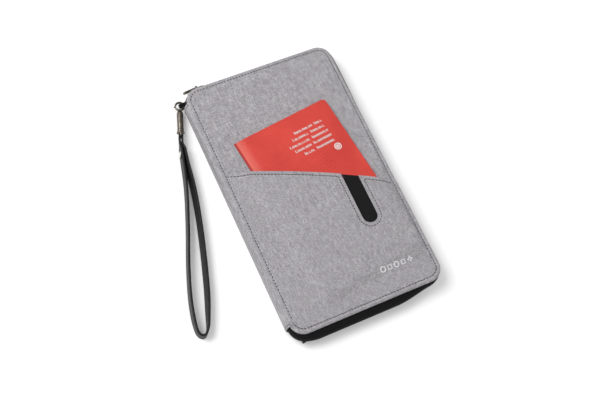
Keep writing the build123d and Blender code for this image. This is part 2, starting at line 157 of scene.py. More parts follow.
# ------------------------------------------------------------------ materials
class Finish:
    """A material under construction: short names for the nodes it needs."""

    def __init__(self, name, colour, rough, metal=0.0, sheen=0.0, coat=0.0, gloss=0.5):
        self.material = bpy.data.materials.new(name)
        self.material.use_nodes = True
        self.tree = self.material.node_tree
        self.shader = self.tree.nodes["Principled BSDF"]
        self.shader.inputs["Base Color"].default_value = (*colour, 1)
        self.shader.inputs["Roughness"].default_value = rough
        self.shader.inputs["Metallic"].default_value = metal
        self.shader.inputs["Sheen Weight"].default_value = sheen
        self.shader.inputs["Coat Weight"].default_value = coat
        self.shader.inputs["Specular IOR Level"].default_value = gloss
        self.coords = self.tree.nodes.new("ShaderNodeTexCoord")

    def link(self, a, b):
        self.tree.links.new(a, b)

    def mapped(self, scale, turn=0.0):
        node = self.tree.nodes.new("ShaderNodeMapping")
        node.inputs["Scale"].default_value = scale
        node.inputs["Rotation"].default_value = (0, 0, turn)
        self.link(self.coords.outputs["Object"], node.inputs["Vector"])
        return node.outputs["Vector"]

    def noise(self, scale, turn=0.0, detail=3.0, rough=0.55):
        node = self.tree.nodes.new("ShaderNodeTexNoise")
        node.inputs["Scale"].default_value = 1.0
        node.inputs["Detail"].default_value = detail
        node.inputs["Roughness"].default_value = rough
        self.link(self.mapped(scale, turn), node.inputs["Vector"])
        return node.outputs["Fac"]

    def wave(self, pitch, axis, turn=0.0):
        node = self.tree.nodes.new("ShaderNodeTexWave")
        node.wave_type = "BANDS"
        node.bands_direction = axis
        node.inputs["Scale"].default_value = 1.0
        size = math.pi / (10 * pitch)
        self.link(self.mapped((size, size, size), turn), node.inputs["Vector"])
        return node.outputs["Fac"]

    def mix(self, a, b, share, kind="MIX"):
        node = self.tree.nodes.new("ShaderNodeMix")
        node.data_type = "FLOAT"
        node.inputs["Factor"].default_value = share
        self.link(a, node.inputs["A"])
        self.link(b, node.inputs["B"])
        return node.outputs["Result"]

    def maths(self, kind, *values):
        node = self.tree.nodes.new("ShaderNodeMath")
        node.operation = kind
        for socket, value in zip(node.inputs, values):
            if isinstance(value, (int, float)):
                socket.default_value = value
            else:
                self.link(value, socket)
        return node.outputs["Value"]

    def ramp(self, value, stops):
        node = self.tree.nodes.new("ShaderNodeValToRGB")
        ramp = node.color_ramp
        while len(ramp.elements) < len(stops):
            ramp.elements.new(0.5)
        for element, (place, colour) in zip(ramp.elements, stops):
            element.position = place
            element.color = (*colour, 1)
        self.link(value, node.inputs["Fac"])
        return node.outputs["Color"]

    def tint(self, colour, other, share):
        node = self.tree.nodes.new("ShaderNodeMix")
        node.data_type = "RGBA"
        self.link(share, node.inputs[0])
        self.link(colour, node.inputs[6])
        node.inputs[7].default_value = (*other, 1)
        return node.outputs[2]

    def paint(self, colour):
        self.link(colour, self.shader.inputs["Base Color"])

    def roughen(self, value):
        self.link(value, self.shader.inputs["Roughness"])

    def bump(self, height, depth, strength=1.0):
        node = self.tree.nodes.new("ShaderNodeBump")
        node.inputs["Strength"].default_value = strength
        node.inputs["Distance"].default_value = depth
        self.link(height, node.inputs["Height"])
        self.link(node.outputs["Normal"], self.shader.inputs["Normal"])


def melange_cloth():
    """Grey melange polyester: light and dark yarns, slubs along the warp, a fine weave."""
    f = Finish("melange_cloth", (0.34, 0.33, 0.35), 0.88, sheen=0.12)
    warp = f.noise((2100, 150, 900), detail=1.0)
    weft = f.noise((330, 2300, 900), detail=1.0)
    speck = f.noise((2300, 2300, 2300), detail=1.0)
    yarn = f.mix(f.mix(warp, weft, 0.55), speck, 0.38)
    cloud = f.noise((60, 60, 60), detail=3.0)
    rib = f.wave(1.35 * mm, "Y", math.radians(-14))
    tone = f.mix(f.mix(yarn, cloud, 0.04), rib, 0.08)
    f.paint(f.ramp(tone, [
        (0.39, (0.175, 0.167, 0.180)),
        (0.48, (0.292, 0.280, 0.298)),
        (0.53, (0.358, 0.344, 0.362)),
        (0.62, (0.560, 0.540, 0.560)),
    ]))
    weave = f.maths("MULTIPLY", f.wave(0.55 * mm, "X"), f.wave(0.55 * mm, "Y"))
    f.bump(f.mix(weave, yarn, 0.6), 0.00022, 0.7)
    return f.material


def woven_black(name, colour, pitch, turn=0.0, rough=0.75):
    f = Finish(name, colour, rough, gloss=0.12)
    ribs = f.maths("MULTIPLY", f.wave(pitch, "X", turn), f.wave(pitch, "Y", turn))
    fuzz = f.noise((900, 900, 900))
    dark = tuple(0.7 * c for c in colour)
    pale = tuple(1.35 * c for c in colour)
    f.paint(f.ramp(fuzz, [(0.35, dark), (0.65, pale)]))
    f.bump(f.mix(ribs, fuzz, 0.4), 0.00015, 0.6)
    return f.material


def nickel(name, colour, rough):
    f = Finish(name, colour, rough, metal=1.0)
    wear = f.noise((260, 260, 260), detail=5.0)
    dark = tuple(0.62 * c for c in colour)
    f.paint(f.ramp(wear, [(0.35, dark), (0.6, colour)]))
    f.roughen(f.maths("MULTIPLY_ADD", wear, 0.22, 0.2))
    f.bump(f.noise((1800, 1800, 1800)), 0.00003, 0.4)
    return f.material


def booklet_red():
    """Coated booklet cloth with a fine grain and a faint pressed relief, a painted highlight beside the
    spine and painted shade on the spine's side face.
    """
    f = Finish("booklet_red", (0.58, 0.046, 0.034), 0.5, coat=0.03, gloss=0.3)
    grain = f.noise((1700, 1700, 1700), detail=2.0)
    cloud = f.noise((35, 35, 35))
    red = f.ramp(f.mix(grain, cloud, 0.6), [
        (0.35, (0.520, 0.040, 0.030)),
        (0.62, (0.640, 0.060, 0.044)),
    ])
    split = f.tree.nodes.new("ShaderNodeSeparateXYZ")
    f.link(f.mapped((1, 1, 1), -book_turn), split.inputs["Vector"])
    spine_at = book_mid.x * math.cos(book_turn) + book_mid.y * math.sin(book_turn) - book_w / 2
    from_spine = f.maths("DIVIDE", f.maths("SUBTRACT", split.outputs["X"], spine_at), 20 * mm)
    black, white = (0, 0, 0), (1, 1, 1)
    # painted highlight: a pale pink band from about 1.4 to 9.6 mm beside the spine, strongest near 2.6 mm,
    # where the curved hinge catches the light
    spine_highlight = f.ramp(from_spine, [(0.07, black), (0.13, (0.27, 0.27, 0.27)), (0.48, black)])
    # painted shade: a dark red strip over the first 1.2 mm from the spine, on its side face, fading out by
    # 1.8 mm
    side = f.ramp(from_spine, [(0.06, white), (0.09, black)])
    highlighted_red = f.tint(red, (0.90, 0.34, 0.27), spine_highlight)
    f.paint(f.tint(highlighted_red, (0.33, 0.018, 0.014), side))
    f.bump(grain, 0.00008, 0.5)
    return f.material


def page_stack():
    f = Finish("page_stack", (0.82, 0.79, 0.70), 0.8)
    leaves = f.wave(0.16 * mm, "Z")
    f.paint(f.ramp(leaves, [(0.2, (0.62, 0.59, 0.51)), (0.7, (0.86, 0.84, 0.77))]))
    f.bump(leaves, 0.00005, 0.6)
    return f.material


def strap_hide():
    """Smooth dark webbing-backed leather with a satin face and a fine grain."""
    f = Finish("strap_hide", (0.014, 0.014, 0.015), 0.42, gloss=0.16)
    pores = f.noise((1500, 1500, 1500), detail=4.0)
    cloud = f.noise((90, 90, 90))
    f.paint(f.ramp(f.mix(pores, cloud, 0.5), [
        (0.38, (0.008, 0.008, 0.0085)),
        (0.62, (0.019, 0.019, 0.020)),
    ]))
    f.bump(pores, 0.00008, 0.5)
    return f.material


def plain(name, colour, rough, grain=900, depth=0.00005, metal=0.0):
    f = Finish(name, colour, rough, metal=metal, gloss=0.25)
    speck = f.noise((grain, grain, grain))
    dark = tuple(0.8 * c for c in colour)
    f.paint(f.ramp(speck, [(0.35, dark), (0.6, colour)]))
    f.bump(speck, depth, 0.5)
    return f.material


cloth = melange_cloth()
lining_cloth = woven_black("lining_cloth", (0.045, 0.045, 0.049), 0.5 * mm)
tape_cloth = woven_black("tape_cloth", (0.0062, 0.0062, 0.0066), 0.7 * mm, math.radians(45))
insert_cloth = woven_black("insert_cloth", (0.0085, 0.0085, 0.009), 0.35 * mm)
coil_nylon = plain("coil_nylon", (0.022, 0.022, 0.022), 0.36)
thread = plain("thread", (0.036, 0.035, 0.039), 0.8)
old_nickel = nickel("old_nickel", (0.20, 0.175, 0.148), 0.3)
bright_nickel = nickel("bright_nickel", (0.80, 0.78, 0.74), 0.24)
red_cover = booklet_red()
# painted shade: a darker red for the grains of the pressed relief, standing in for the shade in its dents
dent_shade_red = plain("dent_shade_red", (0.43, 0.028, 0.022), 0.55)
white_print = plain("white_print", (0.86, 0.85, 0.83), 0.6)
silver_print = plain("silver_print", (0.80, 0.80, 0.82), 0.45)
pages = page_stack()
hide = strap_hide()
stiff_board = plain("stiff_board", (0.03, 0.03, 0.03), 0.7)


# ------------------------------------------------------------------ camera, light, floor
aim = Vector((-13.0, -8.2, 8.5)) * mm
camera_far = 864.2 * mm
camera_azimuth = math.radians(-42.13)
camera_elevation = math.radians(66.61)
camera_roll = math.radians(18.79)
camera_lens = 63.51


def make_camera():
    lens = bpy.data.cameras.new("camera")
    lens.lens = camera_lens
    lens.sensor_width = 36
    lens.clip_start = 0.01
    camera = bpy.data.objects.new("camera", lens)
    bpy.context.scene.collection.objects.link(camera)
    flat = math.cos(camera_elevation)
    back = Vector((
        math.sin(camera_azimuth) * flat,
        -math.cos(camera_azimuth) * flat,
        math.sin(camera_elevation),
    ))
    camera.location = aim + back * camera_far
    camera.rotation_mode = "QUATERNION"
    upright = (-back).to_track_quat("-Z", "Y")
    camera.rotation_quaternion = upright @ Quaternion((0, 0, 1), camera_roll)
    bpy.context.scene.camera = camera
    return camera


def area_light(name, place, size, power, colour=(1, 1, 1)):
    data = bpy.data.lights.new(name, "AREA")
    data.shape = "RECTANGLE"
    data.size, data.size_y = size
    data.energy = power
    data.color = colour
    lamp = bpy.data.objects.new(name, data)
    bpy.context.scene.collection.objects.link(lamp)
    lamp.location = place
    lamp.rotation_mode = "QUATERNION"
    lamp.rotation_quaternion = (Vector((0, 0, 0)) - Vector(place)).to_track_quat("-Z", "Y")


camera = make_camera()
bpy.context.scene.view_settings.view_transform = "Standard"
world = bpy.data.worlds.new("studio")
world.use_nodes = True
world.node_tree.nodes["Background"].inputs["Color"].default_value = (1, 1, 1, 1)
world.node_tree.nodes["Background"].inputs["Strength"].default_value = 0.47
bpy.context.scene.world = world
area_light("key", (-0.75, 0.55, 1.15), (0.9, 0.9), 17.5)
area_light("fill", (0.5, -0.9, 1.2), (1.0, 1.0), 3.5)

clear_selection()
bpy.ops.mesh.primitive_plane_add(size=8, location=(0, 0, -0.0002))
floor = bpy.context.object
floor.name = "floor"
floor_paint = bpy.data.materials.new("floor_paint")
floor_paint.use_nodes = True
floor_inputs = floor_paint.node_tree.nodes["Principled BSDF"].inputs
floor_inputs["Base Color"].default_value = (0.93, 0.93, 0.93, 1)
floor_inputs["Roughness"].default_value = 0.9
floor_inputs["Emission Color"].default_value = (1, 1, 1, 1)
floor_inputs["Emission Strength"].default_value = 0.14
floor.data.materials.append(floor_paint)


# ------------------------------------------------------------------ cover panels
edge_roll = 1.8 * mm
seam_in = 3.5 * mm
seam_dip = 0.55 * mm
seam_half = 0.6 * mm
crown = 0.45 * mm
fine_step = 0.28 * mm
fine_band = 5.6 * mm
coarse_step = 1.5 * mm
hem_in = 1.5 * mm
hem_turn = 0.4 * mm
hem_drop = 0.35 * mm
hem_rise = 0.7 * mm


def lines_across(half):
    """Grid lines from -half to half: close together near the edges, wider between."""
    near = np.arange(0, fine_band, fine_step)
    count = int(round((half - fine_band) / coarse_step)) * 2
    middle = np.linspace(-(half - fine_band), half - fine_band, count + 1)
    return np.concatenate([-half + near, middle, (half - near)[::-1]])


def sheet_grid(name, xs, ys):
    """A grid of cloth whose lines lie at xs and ys."""
    clear_selection()
    bpy.ops.mesh.primitive_grid_add(x_subdivisions=len(xs) - 1, y_subdivisions=len(ys) - 1, size=2)
    piece = bpy.context.object
    piece.name = name
    points = get_points(piece)
    column = np.rint((points[:, 0] + 1) / 2 * (len(xs) - 1)).astype(int)
    row = np.rint((points[:, 1] + 1) / 2 * (len(ys) - 1)).astype(int)
    points[:, 0] = xs[column]
    points[:, 1] = ys[row]
    return piece, points, column, row


def round_corners(points, half_x, half_y, radius):
    """Bends the grid's square rings round the corners; returns each point's inset."""
    x, y = points[:, 0].copy(), points[:, 1].copy()
    gap_x = half_x - np.abs(x)
    gap_y = half_y - np.abs(y)
    inset = np.minimum(gap_x, gap_y)
    ring_r = np.maximum(radius - inset, 1e-9)
    on_end = gap_y <= gap_x
    from_corner = np.where(on_end, gap_x, gap_y) - inset
    near = (from_corner < ring_r) & (inset < radius)
    share = np.clip(from_corner / ring_r, 0, 1)
    angle = np.where(on_end, 45 + 45 * share, 45 - 45 * share) * math.pi / 180
    new_x = np.sign(x) * (half_x - radius + ring_r * np.cos(angle))
    new_y = np.sign(y) * (half_y - radius + ring_r * np.sin(angle))
    points[:, 0] = np.where(near, new_x, x)
    points[:, 1] = np.where(near, new_y, y)
    return inset


def rolled_height(inset, level):
    """Height of a stitched, lightly padded panel, by the distance from its edge."""
    over = np.clip(edge_roll - inset, 0, edge_roll)
    roll = edge_roll - np.sqrt(np.maximum(edge_roll**2 - over**2, 0))
    seam = seam_dip * np.exp(-(((inset - seam_in) / seam_half) ** 2))
    swell = crown * (1 - np.exp(-np.maximum(inset - seam_in, 0) / (5 * mm)))
    return level - roll - seam + swell


def select_rim(piece):
    """Enters edit mode with the piece's open edges selected."""
    pick(piece)
    bpy.ops.object.mode_set(mode="EDIT")
    bpy.ops.mesh.select_mode(type="EDGE")
    bpy.ops.mesh.select_all(action="DESELECT")
    bpy.ops.mesh.select_non_manifold(extend=False)


def extrude_rim(move=(0, 0, 0), grow=(1, 1, 1)):
    bpy.ops.mesh.extrude_edges_move(TRANSFORM_OT_translate={"value": move})
    if grow != (1, 1, 1):
        bpy.ops.transform.resize(value=grow, center_override=(0, 0, 0))


def shrink_by(gap):
    """The scale that brings the covers' outline in by gap."""
    return (half_w - gap) / half_w, (half_l - gap) / half_l, 1


def close_panel(piece, side_drop):
    """The side, the hem turned in under it, and the hidden back of the panel."""
    select_rim(piece)
    extrude_rim((0, 0, -side_drop))
    extrude_rim((0, 0, -hem_drop), shrink_by(hem_turn))
    extrude_rim((0, 0, 0), shrink_by(hem_in))
    extrude_rim((0, 0, hem_rise))
    bpy.ops.mesh.edge_face_add()
    bpy.ops.object.mode_set(mode="OBJECT")


def cover_cloth(name, flip):
    """One cover's cloth: padded face, rolled edge and a hem turned in under the board."""
    piece, points, _, _ = sheet_grid(name, lines_across(half_w), lines_across(half_l))
    inset = round_corners(points, half_w, half_l, cover_r)
    points[:, 2] = rolled_height(inset, top_z)
    set_points(piece, points)
    close_panel(piece, top_z - edge_roll - front_low_z - hem_drop)
    if flip:
        points = get_points(piece)
        points[:, 2] = top_z - points[:, 2]
        set_points(piece, points)
    outward(piece)
    smooth(piece, 50)
    return piece


front_cloth = cover_cloth("front_cover_cloth", False)
dress(front_cloth, cloth, "front_cover", "grey_fabric", "front_cover_fabric", "front_cover_edge")
back_cloth = cover_cloth("back_cover_cloth", True)
back_points = get_points(back_cloth)
back_points[:, 2] = np.maximum(back_points[:, 2], 0.0)
set_points(back_cloth, back_points)
dress(back_cloth, cloth, "back_cover", "grey_fabric", "back_cover_fabric", "back_cover_edge")


# ------------------------------------------------------------------ the front pocket
panel_lift = 0.5 * mm
panel_t = 0.7 * mm
panel_past = 0.2 * mm
mouth_points = ((-half_w, 33.4 * mm), (2.4 * mm, 6.8 * mm), (half_w, -26 * mm))
mouth_seam = 2.8 * mm
slot_x = 30.8 * mm
slot_r = 6.5 * mm
slot_end_y = -51.5 * mm
slot_seam = 3.0 * mm
cutter_end_y = 30 * mm
cutter_down = 4 * mm
cutter_tall = 12 * mm
backing_past = 3.6 * mm
backing_gap = 0.02 * mm
backing_down = 0.2 * mm
backing_t = 0.25 * mm
backing_mid_y = -20 * mm
panel_split_y = -72 * mm
bulge_fall = 13 * mm
held_in = 3.5 * mm
lip_drop = 0.3 * mm
lip_run = 0.5 * mm
bulge_top = 21.3 * mm
book_push = 19.5 * mm


def circle_through(a, b, c):
    """Centre and radius of the circle through three points."""
    d = 2 * (a[0] * (b[1] - c[1]) + b[0] * (c[1] - a[1]) + c[0] * (a[1] - b[1]))
    sq = [p[0] ** 2 + p[1] ** 2 for p in (a, b, c)]
    cx = (sq[0] * (b[1] - c[1]) + sq[1] * (c[1] - a[1]) + sq[2] * (a[1] - b[1])) / d
    cy = (sq[0] * (c[0] - b[0]) + sq[1] * (a[0] - c[0]) + sq[2] * (b[0] - a[0])) / d
    return cx, cy, math.hypot(a[0] - cx, a[1] - cy)


mouth_cx, mouth_cy, mouth_r = circle_through(*mouth_points)


def mouth_y(x):
    return mouth_cy + np.sqrt(mouth_r**2 - (x - mouth_cx) ** 2)


def mouth_gap(x, y):
    """Distance below the pocket's mouth, measured square to it."""
    return mouth_r - np.hypot(x - mouth_cx, y - mouth_cy)


def slot_gap(x, y):
    """Distance outside the thumb slot's edge."""
    below = np.minimum(y - (slot_end_y + slot_r), 0)
    return np.hypot(x - slot_x, below) - slot_r


def book_local(x, y):
    dx = x - book_mid.x
    dy = y - book_mid.y
    c, s = math.cos(book_turn), math.sin(book_turn)
    return dx * c + dy * s, -dx * s + dy * c


def dip(gap, at):
    return seam_dip * np.exp(-(((gap - at) / seam_half) ** 2))


def panel_height(x, y, inset):
    """The pocket cloth: sewn down at the edges, lifted by the booklet, hemmed at mouth and slot."""
    local_x, local_y = book_local(x, y)
    out_x = np.maximum(np.abs(local_x) - book_w / 2, 0)
    out_y = np.maximum(-local_y - book_l / 2 - book_push, 0)
    outside = np.hypot(out_x, out_y)
    held = ease((inset - seam_in) / held_in)
    lift = (bulge_top - top_z - panel_lift - crown) * (1 - ease(outside / bulge_fall)) * held
    gap = np.maximum(mouth_gap(x, y), 0)
    lip = lip_drop * np.exp(-gap / lip_run)
    slot = np.maximum(slot_gap(x, y), 0)
    slot_lip = lip_drop * np.exp(-slot / lip_run)
    seams = dip(gap, mouth_seam) + dip(slot, slot_seam)
    return rolled_height(inset, top_z + panel_lift) + lift - lip - slot_lip - seams


def cover_height(x, y, inset):
    return rolled_height(inset, top_z)


def panel_rows():
    """Levels of the straight rows, from the foot to the line where the rows start to follow the mouth."""
    fine = np.arange(0, fine_band, fine_step)
    coarse = np.arange(fine_band, half_l + panel_split_y, coarse_step)
    return -half_l + np.concatenate([fine, coarse])


def pocket_cloth():
    """The pocket's cloth: its upper rows follow the mouth, and the thumb slot is cut out of it."""
    half_x = half_w + panel_past
    half_y = half_l + panel_past
    xs = lines_across(half_x)
    low_rows = panel_rows()
    even = np.linspace(0, 1, 62)[1:]
    near_mouth = 1 - (1 - even[-9]) * np.linspace(1, 0, 24)[1:]
    shares = np.concatenate([even[:-8], near_mouth])
    ys = np.concatenate([low_rows, half_l * (1 + shares)])
    piece, points, column, row = sheet_grid("pocket_cloth", xs, ys)
    upper = row >= len(low_rows)
    share = np.where(upper, ys[row] / half_l - 1, 0)
    base = low_rows[-1]
    points[:, 1] = np.where(upper, base + share * (mouth_y(points[:, 0]) - base), points[:, 1])
    inset = round_corners(points, half_x, half_y, cover_r)
    points[:, 2] = panel_height(points[:, 0], points[:, 1], inset)
    set_points(piece, points)
    with_wall(piece, panel_t, -1)
    cutter = slot_cutter()
    cut = piece.modifiers.new("slot", "BOOLEAN")
    cut.operation = "DIFFERENCE"
    cut.solver = "EXACT"
    cut.object = cutter
    apply_all(piece)
    bpy.data.objects.remove(cutter)
    smooth(piece, 45)
    return piece


def slot_cutter():
    """A tall block with one round end, the shape of the thumb slot."""
    clear_selection()
    bpy.ops.mesh.primitive_circle_add(vertices=48, radius=slot_r, fill_type="NGON",
                                      location=(slot_x, slot_end_y + slot_r, top_z - cutter_down))
    piece = settle(bpy.context.object, "slot_cutter")
    points = get_points(piece)
    mid = slot_end_y + slot_r
    upper = points[:, 1] > mid + 1e-6
    points[:, 1] = np.where(upper, cutter_end_y, points[:, 1])
    points[:, 0] = np.where(upper, slot_x + np.sign(points[:, 0] - slot_x) * slot_r, points[:, 0])
    set_points(piece, points)
    pick(piece)
    bpy.ops.object.mode_set(mode="EDIT")
    bpy.ops.mesh.select_all(action="SELECT")
    bpy.ops.mesh.remove_doubles(threshold=0.00001)
    bpy.ops.mesh.extrude_region_move(TRANSFORM_OT_translate={"value": (0, 0, cutter_tall)})
    bpy.ops.mesh.select_all(action="SELECT")
    bpy.ops.mesh.normals_make_consistent(inside=False)
    bpy.ops.object.mode_set(mode="OBJECT")
    return piece


pocket = pocket_cloth()
dress(pocket, cloth, "front_cover", "grey_fabric", "front_pocket_panel")


def slot_backing():
    """The black cloth behind the thumb slot, just under the pocket cloth."""
    wide = slot_r + backing_past
    xs = np.linspace(slot_x - wide, slot_x + wide, 21)
    ys = np.linspace(0, 1, 41)
    piece, points, column, row = sheet_grid("thumb_slot_backing", xs, ys)
    low = slot_end_y - backing_past
    high = mouth_y(points[:, 0]) - backing_down
    points[:, 1] = low + points[:, 1] * (high - low)
    inset = half_w - np.abs(points[:, 0])
    flat = panel_height(slot_x, np.full(len(points), backing_mid_y), inset)
    level = panel_height(points[:, 0], points[:, 1], inset)
    points[:, 2] = np.minimum(level, flat) - panel_t - backing_gap
    set_points(piece, points)
    with_wall(piece, backing_t, -1)
    smooth(piece, 60)
    return piece


dress(slot_backing(), insert_cloth, "front_cover", "black_insert", "thumb_slot_insert")


# ------------------------------------------------------------------ the spine
spine_foot_y = -103.6 * mm
spine_head_y = 102.0 * mm
wrap_in_x = -61.4 * mm
wrap_flat_x = -65.0 * mm
wrap_out_x = -69.0 * mm
wrap_power = 2.4
wrap_t = 0.6 * mm
wrap_lift = 0.22 * mm
flat_share = 0.3
spine_seam_x = -63.1 * mm


def wrap_level(y):
    """The cloth level beside the spine, which steps up over the pocket."""
    inset = wrap_in_x + half_w
    plain_level = cover_height(wrap_in_x, y, inset)
    over_pocket = panel_height(wrap_in_x, y, inset)
    step = ease((mouth_y(wrap_in_x) + 0.4 * mm - y) / (0.8 * mm))
    return plain_level + (over_pocket - plain_level) * step + wrap_lift


def wrap_point(share, y, flip):
    """A point of the spine cloth: share 0 at its sewn edge, 1 at the middle of the spine."""
    level = top_z if flip else wrap_level(y)
    bend = np.clip((share - flat_share) / (1 - flat_share), 0, 1) * math.pi / 2
    reach = wrap_flat_x - wrap_out_x
    power = 2 / wrap_power
    x_bend = wrap_flat_x - reach * np.sin(bend) ** power
    z_bend = mid_z + (level - mid_z) * np.cos(bend) ** power
    x_flat = wrap_in_x + (wrap_flat_x - wrap_in_x) * share / flat_share
    z_flat = level - dip(x_flat - spine_seam_x + seam_in, seam_in)
    on_flat = share < flat_share
    x = np.where(on_flat, x_flat, x_bend)
    z = np.where(on_flat, z_flat, z_bend)
    if flip:
        z = top_z - z
    return x, z


def spine_wrap(name, flip):
    """Half of the spine's cloth, from its seam on one cover to the middle of the spine."""
    rows = np.linspace(0, 1, 29)
    along = np.linspace(spine_foot_y, spine_head_y, 150)
    piece, points, column, row = sheet_grid(name, along, rows)
    y = along[column]
    x, z = wrap_point(rows[row], y, flip)
    set_points(piece, np.stack([x, y, z], axis=1))
    with_wall(piece, wrap_t, 1 if flip else -1)
    points = get_points(piece)
    points[:, 2] = np.maximum(points[:, 2], 0.0)
    set_points(piece, points)
    outward(piece)
    smooth(piece, 50)
    return piece


front_wrap = spine_wrap("spine_cloth_front", False)
front_wrap.data.materials.append(cloth)
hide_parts("spine_fabric")
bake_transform(front_wrap)
back_wrap = spine_wrap("spine_cloth_back", True)
back_wrap.data.materials.append(cloth)
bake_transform(back_wrap)


# ------------------------------------------------------------------ the zip
def outline_at(distance, half_x, half_y, radius):
    """Point and outward direction, that far along a rounded outline from the foot of its left side."""
    side_y = 2 * (half_y - radius)
    side_x = 2 * (half_x - radius)
    arc = math.pi / 2 * radius
    left_run = side_y / 2
    legs = (
        ("line", left_run, (-half_x, 0), (0, -1), (-1, 0)),
        ("arc", arc, (-half_x + radius, -half_y + radius), math.pi, None),
        ("line", side_x, (-half_x + radius, -half_y), (1, 0), (0, -1)),
        ("arc", arc, (half_x - radius, -half_y + radius), 1.5 * math.pi, None),
        ("line", side_y, (half_x, -half_y + radius), (0, 1), (1, 0)),
        ("arc", arc, (half_x - radius, half_y - radius), 0.0, None),
        ("line", side_x, (half_x - radius, half_y), (-1, 0), (0, 1)),
        ("arc", arc, (-half_x + radius, half_y - radius), 0.5 * math.pi, None),
        ("line", left_run, (-half_x, half_y - radius), (0, -1), (-1, 0)),
    )
    for leg in legs:
        kind, length, place, way, out = leg
        if distance <= length or leg is legs[-1]:
            break
        distance -= length
    if kind == "line":
        return (place[0] + way[0] * distance, place[1] + way[1] * distance), out
    angle = way + distance / radius
    out = (math.cos(angle), math.sin(angle))
    return (place[0] + radius * out[0], place[1] + radius * out[1]), out


def outline_length(half_x, half_y, radius):
    return 4 * (half_x + half_y - 2 * radius) + 2 * math.pi * radius


zip_from_corner = 1.5 * mm
zip_first = half_l - cover_r - zip_from_corner
zip_last = outline_length(half_w, half_l, cover_r) - zip_first
chain_pitch = 1.5 * mm
chain_out = 0.4 * mm
foot_bulge = 5.2 * mm
side_bulge = 2.0 * mm
corner_in = 14 * mm
corner_run = 13 * mm


def chain_bulge(x, y):
    """How far the chain stands out of the covers' edge."""
    foot = ease((-y - (half_l - corner_in)) / corner_run)
    right = ease((x - (half_w - corner_in)) / corner_run)
    head = ease((y - (half_l - corner_in)) / corner_run)
    by_spine = 0.4 + 0.6 * ease((x + 66 * mm) / (20 * mm))
    foot_out = foot_bulge * ease((63 * mm - x) / (42 * mm)) * by_spine
    right_out = -chain_out + side_bulge * ease((y + 10 * mm) / (100 * mm))
    return chain_out + foot * foot_out + right * right_out * (1 - head) * (1 - foot)


def chain_stations(step, first=zip_first, last=zip_last):
    count = int((last - first) / step) + 1
    stations = []
    for distance in np.linspace(first, last, count):
        place, out = outline_at(distance, half_w, half_l, cover_r)
        stations.append((*place, *out, float(chain_bulge(*place))))
    return np.array(stations)


tape_in = 1.4 * mm
tape_edge_z = 1.7 * mm
tape_t = 0.5 * mm
turn_size = (1.9 * mm, 0.95 * mm, 1.3 * mm)
turn_off = 0.85 * mm
turn_out = 0.1 * mm


def tape_cloth_piece(name, flip):
    """Half of the zip's tape: out from under the cover's hem, over to the chain."""
    stations = chain_stations(1.6 * mm)
    shares = np.linspace(0, 1, 13)
    piece, points, column, row = sheet_grid(name, np.arange(len(stations)) * 1.0, shares)
    x, y, out_x, out_y, bulge = stations[column].T
    turn = shares[row] * math.pi / 2
    start_z = front_low_z + 0.25 * mm
    reach = -tape_in + (bulge + tape_in) * np.sin(turn)
    z = start_z - (start_z - mid_z - tape_edge_z) * (1 - np.cos(turn))
    points = np.stack([x + out_x * reach, y + out_y * reach, z], axis=1)
    if flip:
        points[:, 2] = top_z - points[:, 2]
    set_points(piece, points)
    with_wall(piece, tape_t, 0)
    outward(piece)
    smooth(piece, 60)
    return piece


def scatter(name, template, places):
    """Copies of one small shape, each with its own mesh, joined to one piece."""
    copies = []
    for place in places:
        copy = template.copy()
        copy.data = template.data.copy()
        copy.data.transform(place)
        bpy.context.scene.collection.objects.link(copy)
        copies.append(copy)
    piece = join(*copies)
    piece.name = name
    piece.data.name = name
    bpy.ops.object.shade_smooth()
    return piece


def basis(place, forward, up):
    """A matrix that puts a shape at place with its X along forward and its Z near up."""
    x = Vector(forward).normalized()
    z = Vector(up).normalized()
    y = z.cross(x).normalized()
    z = x.cross(y)
    matrix = Matrix((x, y, z)).transposed().to_4x4()
    matrix.translation = Vector(place)
    return matrix


def bead(length, width, height, segments=8, rings=6):
    """A small rounded grain, long in X: one stitch or one turn of the coil."""
    clear_selection()
    bpy.ops.mesh.primitive_uv_sphere_add(segments=segments, ring_count=rings, radius=0.5)
    piece = bpy.context.object
    points = get_points(piece)
    turned = np.stack([points[:, 2] * length, points[:, 0] * width, points[:, 1] * height], axis=1)
    set_points(piece, turned)
    outward(piece)
    return piece


def chain_row(name, flip):
    """One side of the coil: a row of rounded turns that meet at the middle."""
    turn_bead = bead(*turn_size)
    side = -1 if flip else 1
    shift = chain_pitch / 2 if flip else 0
    places = []
    for x, y, out_x, out_y, bulge in chain_stations(chain_pitch, zip_first + shift, zip_last - chain_pitch):
        out = Vector((out_x, out_y, 0))
        place = Vector((x, y, mid_z + side * turn_off)) + out * (bulge + turn_out)
        places.append(basis(place, (0, 0, 1), out))
    piece = scatter(name, turn_bead, places)
    bpy.data.objects.remove(turn_bead)
    return piece


front_tape = tape_cloth_piece("front_zip_tape_cloth", False)
dress(front_tape, tape_cloth, "front_cover", "zip_tape", "front_zip_tape")
back_tape = tape_cloth_piece("back_zip_tape_cloth", True)
dress(back_tape, tape_cloth, "back_cover", "zip_tape", "back_zip_tape")
dress(chain_row("front_zip_turns", False), coil_nylon, "front_cover", "zip_coil", "front_zip_coil")
dress(chain_row("back_zip_turns", True), coil_nylon, "back_cover", "zip_coil", "back_zip_coil")


# ------------------------------------------------------------------ stitching
stitch_pitch = 2.7 * mm
stitch_size = (1.6 * mm, 0.8 * mm, 0.42 * mm)
mouth_stitch = 2.1 * mm
slot_pitch = 2.4 * mm
wrap_pitch = 2.2 * mm
wrap_stitch = 1.4 * mm
stitch_up = 0.12 * mm
wrap_stitch_up = 0.08 * mm
back_stitch_in = 0.05 * mm


